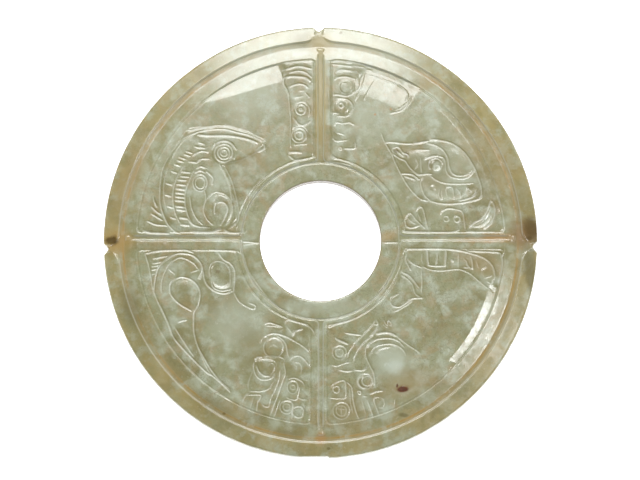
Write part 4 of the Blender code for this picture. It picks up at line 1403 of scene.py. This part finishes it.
def patch_group() -> bpy.types.NodeTree:
    """A node group that masks one soft-edged, broken oval patch.

    The flat place less the centre, plus the push times the break, is turned and divided by
    the oval's half widths. The mask eases from 1 to 0 as its length passes 1. The push is
    one noise that all patches share.

    Returns:
        The group.
    """
    group = bpy.data.node_groups.new("stone_patch", "ShaderNodeTree")
    sockets = group.interface
    for name, kind in (("Place", "NodeSocketVector"), ("Push", "NodeSocketVector"),
                       ("Centre", "NodeSocketVector"), ("Widths", "NodeSocketVector"),
                       ("Break", "NodeSocketVector"), ("Turn", "NodeSocketFloat"),
                       ("Edge", "NodeSocketFloat"), ("Strength", "NodeSocketFloat")):
        sockets.new_socket(name, in_out="INPUT", socket_type=kind)
    sockets.new_socket("Mask", in_out="OUTPUT", socket_type="NodeSocketFloat")
    wire = Wiring(group)
    given = wire.add("NodeGroupInput").outputs
    moved = wire.vector("SUBTRACT", given["Place"], given["Centre"])
    pushed = wire.add("ShaderNodeVectorMath", operation="MULTIPLY_ADD")
    for socket, value in zip(pushed.inputs, (given["Push"], given["Break"], moved)):
        wire.put(socket, value)
    turned = wire.add("ShaderNodeVectorRotate", rotation_type="Z_AXIS")
    wire.put(turned.inputs["Vector"], pushed.outputs["Vector"])
    wire.put(turned.inputs["Angle"], wire.maths("MULTIPLY", given["Turn"], -1.0))
    far = wire.vector("LENGTH", wire.vector("DIVIDE", turned.outputs["Vector"],
                                            given["Widths"]))
    within = wire.maths("SUBTRACT", 1.0, far)
    share = wire.add("ShaderNodeMapRange", interpolation_type="SMOOTHSTEP")
    wire.put(share.inputs["Value"], within)
    wire.put(share.inputs["From Min"], wire.maths("MULTIPLY", given["Edge"], -1.0))
    wire.put(share.inputs["From Max"], given["Edge"])
    out = wire.add("NodeGroupOutput")
    wire.put(out.inputs["Mask"], wire.maths("MULTIPLY", share.outputs["Result"],
                                            given["Strength"]))
    return group


@dataclass(frozen=True)
class Patch:
    """One patch of colour: where it lies on the photograph's frame, and its form."""

    tint: Tint
    x: float
    y: float
    wide: float
    tall: float
    strength: float
    turn: float = 0.0
    edge: float = 0.6
    broken: float = 2.2


PATCHES = (
    Patch(Tint.CLOUD_AND_HIGHLIGHT, 391, 361, 5.4, 4.8, 0.85),
    Patch(Tint.ICE, 395, 366, 2.3, 2.0, 0.60),
    # Paler stone on the top rim where the top light's highlight falls: a painted highlight.
    Patch(Tint.CLOUD_AND_HIGHLIGHT, 276, 47, 17.0, 5.2, 0.55, 0.32),
    Patch(Tint.CLOUD_AND_HIGHLIGHT, 368, 47, 17.0, 5.2, 0.55, -0.30),
    # Darker stone where the rim's highlight fades beside the top notch: painted shade.
    Patch(Tint.OLIVE, 304, 40, 3.8, 2.6, 0.85, 0.1, 0.7),
    Patch(Tint.YELLOW, 320.6, 100, 1.8, 15.0, 0.80, 0.0, 0.5, 1.2),
    Patch(Tint.CLOUD_AND_HIGHLIGHT, 238, 322, 8.0, 7.0, 0.60),
    Patch(Tint.OLIVE, 248, 348, 4.0, 7.0, 0.50),
    Patch(Tint.CLOUD_AND_HIGHLIGHT, 372, 122, 7.0, 6.0, 0.40),
    Patch(Tint.CLOUD_AND_HIGHLIGHT, 440, 175, 9.0, 8.0, 0.35),
    Patch(Tint.CLOUD_AND_HIGHLIGHT, 250, 95, 9.0, 7.0, 0.45),
    Patch(Tint.CLOUD_AND_HIGHLIGHT, 216.5, 178, 2.0, 5.0, 0.60, -0.3, 0.5, 1.2),
    Patch(Tint.OLIVE, 430, 164, 11.0, 6.0, 0.30),
    Patch(Tint.DIRT_AND_SHADE, 433.4, 162.6, 2.0, 1.9, 0.65, 0.0, 0.5, 0.5),
    Patch(Tint.CLOUD_AND_HIGHLIGHT, 437.4, 167.2, 1.2, 1.7, 0.80, 0.0, 0.4, 0.5),
    Patch(Tint.CLOUD_AND_HIGHLIGHT, 462, 180, 4.6, 0.9, 0.70, 0.0, 0.5, 0.5),
    Patch(Tint.TAN, 482, 263, 6.0, 3.2, 0.65, -0.4, 0.6, 1.2),
    Patch(Tint.ORANGE, 484, 240, 9.0, 0.8, 0.45, 0.0, 0.7, 1.2),
    Patch(Tint.TAN, 348, 410, 4.5, 4.5, 0.45),
    Patch(Tint.TAN, 478, 150, 4.0, 16.0, 0.35, 0.6),
    Patch(Tint.OCHRE, 117, 241, 4.8, 3.2, 0.80, 0.0, 0.7),
    Patch(Tint.BROWN, 112, 240, 1.9, 1.3, 0.95, 0.0, 0.4),
    Patch(Tint.RUST, 526, 233, 4.4, 3.8, 0.85, 0.0, 0.7),
    Patch(Tint.BROWN, 531.5, 229, 2.3, 3.3, 0.80, 0.2, 0.5),
    Patch(Tint.BROWN, 529, 238, 0.9, 0.6, 0.80, 0.2, 0.5, 1.2),
    Patch(Tint.DIRT_AND_SHADE, 529, 262, 2.2, 5.0, 0.50, 0.1, 0.7),
    Patch(Tint.ORANGE, 497, 237, 4.0, 1.2, 0.70, 0.0, 0.7),
    Patch(Tint.DIRT_AND_SHADE, 531, 276, 1.5, 7.0, 0.75, 0.15, 0.5),
    Patch(Tint.DIRT_AND_SHADE, 131, 308, 2.8, 5.2, 0.70, 0.35, 0.7),
    Patch(Tint.OLIVE, 146, 342, 2.6, 6.0, 0.40, 0.5, 0.7),
    Patch(Tint.DIRT_AND_SHADE, 214, 405, 7.0, 1.9, 0.50, -0.55, 0.7),
    Patch(Tint.BROWN, 224.4, 412.6, 0.5, 0.4, 0.7, 0.0, 0.5, 0.5),
    Patch(Tint.DIRT_AND_SHADE, 288, 433, 4.0, 1.4, 0.45, -0.15, 0.7),
    Patch(Tint.TAN, 128, 178, 2.8, 12.0, 0.45, -0.4, 0.7),
    Patch(Tint.CLOUD_AND_HIGHLIGHT, 322, 306, 12.0, 2.3, 0.55, 0.0, 0.7),
    Patch(Tint.TAN, 506, 158, 2.6, 8.0, 0.40, 0.6, 0.7),
    Patch(Tint.DIRT_AND_SHADE, 466, 112, 1.8, 3.4, 0.45, 0.7, 0.7),
    Patch(Tint.DIRT_AND_SHADE, 522, 200, 2.4, 5.0, 0.40, 0.2, 0.7),
    Patch(Tint.ORANGE, 321, 437, 1.3, 1.8, 0.75, 0.0, 0.7, 1.2),
    Patch(Tint.YELLOW, 321, 42, 3.4, 3.6, 0.75, 0.0, 0.7, 1.2),
    Patch(Tint.OCHRE, 387, 236, 2.2, 1.6, 0.55, 0.3, 0.7),
    Patch(Tint.TAN, 408, 383, 8.0, 4.0, 0.50, 0.3, 0.7),
    Patch(Tint.RUST, 402, 388, 1.9, 1.0, 0.85, 0.1, 0.6, 0.5),
    Patch(Tint.DARK_RED, 402.4, 388.6, 1.65, 0.82, 1.0, 0.08, 0.25, 0.5),
    Patch(Tint.DARK_RED, 396.7, 385, 0.28, 0.55, 0.9, 0.0, 0.4, 0.5),
    Patch(Tint.DIRT_AND_SHADE, 403, 414, 1.3, 0.6, 0.85, -0.1, 0.5, 0.5),
    Patch(Tint.DIRT_AND_SHADE, 328.5, 447, 0.5, 0.4, 0.9, 0.0, 0.4, 0.5),
    Patch(Tint.DIRT_AND_SHADE, 341, 31, 0.45, 0.45, 0.9, 0.0, 0.5, 0.5),
    Patch(Tint.BROWN, 396.8, 150.8, 0.7, 0.6, 0.5, 0.0, 0.5, 0.5),
    Patch(Tint.BROWN, 407, 154, 0.6, 0.8, 0.5, 0.0, 0.5, 0.5),
    Patch(Tint.BROWN, 217.9, 271.5, 0.7, 0.6, 0.45, 0.0, 0.5, 0.5),
    Patch(Tint.ORANGE, 375, 114, 0.35, 0.35, 0.8, 0.0, 0.5, 0.5),
    Patch(Tint.ORANGE, 391, 109, 0.35, 0.35, 0.8, 0.0, 0.5, 0.5),
)


@dataclass(frozen=True)
class Clouds:
    """A tint in soft seeded clouds: the noise's form, and where it starts and fills up."""

    tint: Tint
    scale: float
    detail: float
    rough: float
    low: float
    high: float
    strength: float
    warp: float = 0.0
    shift: tuple[float, float, float] = (0.0, 0.0, 0.0)

    def mask(self, wire: Wiring, place: Socket) -> Socket:
        """The share of the tint, eased from 0 at low to its strength at high.

        Args:
            wire: The material's wiring.
            place: Places in millimetres.

        Returns:
            The share's socket.
        """
        moved = wire.vector("ADD", place, self.shift) if any(self.shift) else place
        noise = wire.noise(moved, self.scale, self.detail, self.rough, self.warp)
        return wire.steps(noise, self.low, self.high, 0.0, self.strength)


@dataclass(frozen=True)
class JadeFinish:
    """Polished mottled celadon jade, stained tan in the channels and round the rim."""

    gloss: float = 0.14
    gloss_spread: float = 0.07
    matt_spots: float = 0.12
    matt_cuts: float = 0.12
    refraction: float = 1.6
    depth_share: float = 0.45
    depth_radius: tuple[float, float, float] = (1.0, 1.0, 0.8)
    depth: float = 0.0010
    bump_strength: float = 0.12
    bump_height: float = 0.00004
    mottle: tuple[Clouds, ...] = (
        Clouds(Tint.CLOUD_AND_HIGHLIGHT, 0.24, 3.0, 0.45, 0.42, 0.69, 0.90, 0.3),
        Clouds(Tint.TAN, 0.22, 5.0, 0.60, 0.46, 0.69, 0.60, 0.5, (31.0, 17.0, 5.0)),
    )
    flecks: Clouds = Clouds(Tint.TAN, 0.75, 5.0, 0.65, 0.52, 0.75, 0.50)
    vein_strength: float = 0.45
    rim_clouds: tuple[Clouds, ...] = (
        Clouds(Tint.DIRT_AND_SHADE, 0.16, 4.0, 0.60, 0.50, 0.68, 0.30, 0.0, (9.0, 41.0, 3.0)),
        Clouds(Tint.CLOUD_AND_HIGHLIGHT, 0.20, 4.0, 0.60, 0.50, 0.66, 0.55, 0.0, (57.0, 5.0, 3.0)),
        Clouds(Tint.DIRT_AND_SHADE, 1.50, 4.0, 0.60, 0.66, 0.74, 0.65, 0.0, (23.0, 71.0, 3.0)),
    )
    # Masks laid over the colour with their strengths and tints: dirt and painted shade in the
    # hollows, dirt round the cuts, painted shade on the walls, painted light on the lower
    # outer wall, painted shade on the cuts' flanks away from the lights, pale cut walls, and
    # pale cuts with a painted highlight on their lit flanks.
    wear: tuple[tuple[str, float, Tint], ...] = (
        ("hollow_dirt_and_shade", 0.15, Tint.OLIVE), ("halo", 0.50, Tint.DIRT_AND_SHADE), ("side", 0.75, Tint.WALL_SHADE),
        ("painted_light_lower_wall", 0.70, Tint.PALE), ("shaded", 0.55, Tint.DIRT_AND_SHADE),
        ("walls", 0.45, Tint.PALE), ("pale", 0.40, Tint.PALE),
    )

    def material(self) -> bpy.types.Material:
        """Builds the material.

        Returns:
            The material, with one Principled shader.
        """
        made = bpy.data.materials.new("mottled_jade")
        made.use_nodes = True
        wire = Wiring(made.node_tree)
        shader = made.node_tree.nodes["Principled BSDF"]
        coordinate = wire.add("ShaderNodeTexCoord").outputs["Object"]
        scaled = wire.add("ShaderNodeVectorMath", operation="SCALE")
        wire.put(scaled.inputs[0], coordinate)
        scaled.inputs["Scale"].default_value = 1.0 / MM
        place = scaled.outputs["Vector"]
        colour = self.worn_and_painted_light(wire, self.stained(wire, place, self.stone(wire, place)))
        wire.put(shader.inputs["Base Color"], colour)
        matt = wire.steps(wire.noise(place, 0.9, 5.0, 0.65), 0.50, 0.72, 0.0,
                          self.matt_spots)
        cuts = wire.maths("MULTIPLY", wire.attribute("pale"), self.matt_cuts)
        smooth = wire.steps(wire.noise(place, 0.5, 4.0), 0.3, 0.75, self.gloss,
                            self.gloss + self.gloss_spread)
        wire.put(shader.inputs["Roughness"],
                 wire.maths("ADD", wire.maths("ADD", matt, cuts), smooth))
        bump = wire.add("ShaderNodeBump")
        wire.put(bump.inputs["Height"], wire.noise(place, 2.6, 4.0, 0.6))
        for socket, value in ((shader.inputs["IOR"], self.refraction),
                              (shader.inputs["Subsurface Weight"], self.depth_share),
                              (shader.inputs["Subsurface Radius"], self.depth_radius),
                              (shader.inputs["Subsurface Scale"], self.depth),
                              (bump.inputs["Strength"], self.bump_strength),
                              (bump.inputs["Distance"], self.bump_height)):
            socket.default_value = value
        wire.put(shader.inputs["Normal"], bump.outputs["Normal"])
        return made

    def stone(self, wire: Wiring, place: Socket) -> Socket:
        """The stone's own colour: olive to celadon with clouds, veins and fine grain.

        Args:
            wire: The material's wiring.
            place: Places in millimetres.

        Returns:
            The colour's socket.
        """
        share = wire.steps(wire.noise(place, 0.09, 4.0, 0.6, 0.5), 0.31, 0.62, 0.10, 1.0)
        colour = wire.blend(share, (*Tint.OLIVE.value, 1.0), (*Tint.CELADON.value, 1.0))
        for clouds in self.mottle:
            colour = wire.lay(clouds.tint, clouds.mask(wire, place), colour)
        near = wire.maths("SUBTRACT", wire.noise(place, 0.42, 5.0, 0.6, 0.6), 0.5)
        vein = wire.steps(wire.maths("ABSOLUTE", near), 0.03, 0.0, 0.0, self.vein_strength)
        veined = wire.steps(wire.noise(place, 0.07, 2.0), 0.42, 0.60)
        colour = wire.lay(Tint.DIRT_AND_SHADE, wire.maths("MULTIPLY", vein, veined), colour)
        colour = wire.lay(self.flecks.tint, self.flecks.mask(wire, place), colour)
        grain = wire.steps(wire.noise(place, 1.9, 3.0, 0.6), 0.25, 0.75, 0.92, 1.06)
        shade = wire.add("ShaderNodeCombineColor")
        for name in ("Red", "Green", "Blue"):
            wire.put(shade.inputs[name], grain)
        return wire.blend(1.0, colour, shade.outputs[0], "MULTIPLY")

    def stained(self, wire: Wiring, place: Socket, colour: Socket) -> Socket:
        """Yellow-stained rim with clouds, tan ring channel with its seam, every patch; two
        patches paint a highlight on the top rim and one paints shade beside the top notch.

        Args:
            wire: The material's wiring.
            place: Places in millimetres.
            colour: The stone's own colour.

        Returns:
            The colour's socket.
        """
        flat = wire.vector("MULTIPLY", place, (1.0, 1.0, 0.0))
        radius = wire.vector("LENGTH", flat)
        uneven = wire.noise(place, 0.12, 4.0, 0.6)
        rim = wire.maths("MULTIPLY", wire.steps(radius, 54.0, 61.0),
                         wire.steps(uneven, 0.30, 0.65, 0.20, 0.75))
        colour = wire.lay(Tint.YELLOW, rim, colour)
        channel = wire.maths("MULTIPLY", wire.steps(radius, 58.0, 59.0),
                             wire.steps(radius, 60.9, 60.2))
        colour = wire.lay(Tint.TAN, wire.maths("MULTIPLY", channel, 0.55), colour)
        seam = wire.maths("MULTIPLY", wire.steps(radius, 58.7, 59.0),
                          wire.steps(radius, 59.6, 59.2))
        seam = wire.maths("MULTIPLY", seam, wire.steps(uneven, 0.35, 0.60, 0.35, 0.95))
        colour = wire.lay(Tint.OCHRE, seam, colour)
        outer = wire.steps(radius, 53.5, 57.0)
        for clouds in self.rim_clouds:
            share = wire.maths("MULTIPLY", outer, clouds.mask(wire, place))
            colour = wire.lay(clouds.tint, share, colour)
        noises = wire.noise_node(place, 0.45, 4.0, 0.6, 0.0).outputs["Color"]
        push = wire.vector("SUBTRACT", noises, (0.5, 0.5, 0.5))
        group = patch_group()
        for patch in PATCHES:
            node = wire.add("ShaderNodeGroup", node_tree=group)
            x, y = to_disc([(patch.x, patch.y)])[0]
            for name, value in (("Place", flat), ("Push", push), ("Centre", (x, y, 0.0)),
                                ("Widths", (patch.wide, patch.tall, 1.0)),
                                ("Break", (patch.broken, patch.broken, 0.0)),
                                ("Turn", patch.turn), ("Edge", patch.edge),
                                ("Strength", patch.strength)):
                wire.put(node.inputs[name], value)
            colour = wire.lay(patch.tint, node.outputs["Mask"], colour)
        return colour

    def worn_and_painted_light(self, wire: Wiring, colour: Socket) -> Socket:
        """Dirt and painted shade in the hollows and beside the cuts, paler stone with a
        painted highlight in the cuts, and painted shade and light on the walls.

        Args:
            wire: The material's wiring.
            colour: The stained stone's colour.

        Returns:
            The colour's socket.
        """
        for name, strength, tint in self.wear:
            share = wire.maths("MULTIPLY", wire.attribute(name), strength)
            colour = wire.lay(tint, share, colour)
        return colour


@dataclass(frozen=True)
class SoftBox:
    """A rectangular studio light: where it hangs and what it gives."""

    name: str
    from_zenith: float
    azimuth: float
    distance: float
    wide: float
    tall: float
    watts: float

    def build(self) -> bpy.types.Object:
        """Hangs the light, facing the disc.

        Returns:
            The lamp.
        """
        light = bpy.data.lights.new(self.name, "AREA")
        light.shape = "RECTANGLE"
        light.size, light.size_y = self.wide, self.tall
        light.energy = self.watts
        lamp = bpy.data.objects.new(self.name, light)
        bpy.context.scene.collection.objects.link(lamp)
        polar, turn = math.radians(self.from_zenith), math.radians(self.azimuth)
        way = Vector((math.sin(polar) * math.cos(turn), math.sin(polar) * math.sin(turn),
                      math.cos(polar)))
        lamp.location = way * self.distance
        lamp.rotation_mode = "QUATERNION"
        lamp.rotation_quaternion = way.to_track_quat("Z", "Y")
        lamp.visible_camera = False
        return lamp


@dataclass(frozen=True)
class Studio:
    """The pale floor, clear from below, the soft light and the camera above the disc."""

    floor_half: float = 2.0
    floor_gap: float = 0.00002
    sky: float = 0.43
    elevation: float = 83.0
    distance: float = 1.25
    lens: float = 235.2
    aim: tuple[float, float, float] = (-0.00015, 0.00021, 0.006)
    boxes: tuple[SoftBox, ...] = (
        SoftBox("top_soft_box", 31.0, 92.5, 1.3, 0.55, 0.84, 15.4),
        SoftBox("side_soft_box", 16.6, -8.0, 1.6, 0.18, 0.28, 3.8),
    )

    def build(self) -> None:
        """Makes the floor, the world, the lights and the camera."""
        corners = np.array([[-1, -1, 0], [1, -1, 0], [1, 1, 0], [-1, 1, 0]], float)
        corners = corners * self.floor_half - (0.0, 0.0, self.floor_gap)
        mesh = filled_mesh("pale_floor", corners, np.array([[0, 1, 2, 3]]))
        floor = bpy.data.objects.new("pale_floor", mesh)
        bpy.context.scene.collection.objects.link(floor)
        paper = bpy.data.materials.new("white_paper")
        paper.use_nodes = True
        shader = paper.node_tree.nodes["Principled BSDF"]
        shader.inputs["Base Color"].default_value = (0.85, 0.85, 0.85, 1.0)
        shader.inputs["Roughness"].default_value = 0.9
        shader.inputs["Emission Color"].default_value = (1.0, 1.0, 1.0, 1.0)
        shader.inputs["Emission Strength"].default_value = 1.0
        wire = Wiring(paper.node_tree)
        below = wire.add("ShaderNodeNewGeometry").outputs["Backfacing"]
        wire.put(shader.inputs["Alpha"], wire.maths("SUBTRACT", 1.0, below))
        mesh.materials.append(paper)
        world = bpy.data.worlds.new("soft_room")
        bpy.context.scene.world = world
        world.use_nodes = True
        world.node_tree.nodes["Background"].inputs["Color"].default_value = (1, 1, 1, 1)
        world.node_tree.nodes["Background"].inputs["Strength"].default_value = self.sky
        for box in self.boxes:
            box.build()
        self.camera()
        bpy.context.scene.view_settings.view_transform = "Standard"

    def camera(self) -> None:
        """Hangs the camera nearly square above the disc, a little towards its foot."""
        lens = bpy.data.cameras.new("camera")
        lens.lens = self.lens
        lens.sensor_width = 36.0
        camera = bpy.data.objects.new("camera", lens)
        bpy.context.scene.collection.objects.link(camera)
        rise = math.radians(self.elevation)
        back = Vector((0.0, -math.cos(rise), math.sin(rise)))
        camera.location = Vector(self.aim) + back * self.distance
        camera.rotation_mode = "QUATERNION"
        camera.rotation_quaternion = back.to_track_quat("Z", "Y")
        bpy.context.scene.camera = camera


def main() -> None:
    """Builds the disc and the studio round it, and reports each piece."""
    logging.basicConfig(level=logging.INFO, format="%(name)s: %(message)s")
    jade = JadeDisc()
    jade.face.carve([
        upper_left_column(), upper_left_head(), upper_right_column(), upper_right_scroll(),
        upper_right_eye(), upper_right_foot(), lower_left_creature(), lower_left_column(),
        lower_right_jaw(), lower_right_column(), collar_lines(),
    ])
    disc = jade.build()
    disc.data.materials.append(JadeFinish().material())
    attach(disc, "root")
    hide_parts("jade_disc")
    Studio().build()
    LOG.info("studio built")


if __name__ == "__main__":
    main()
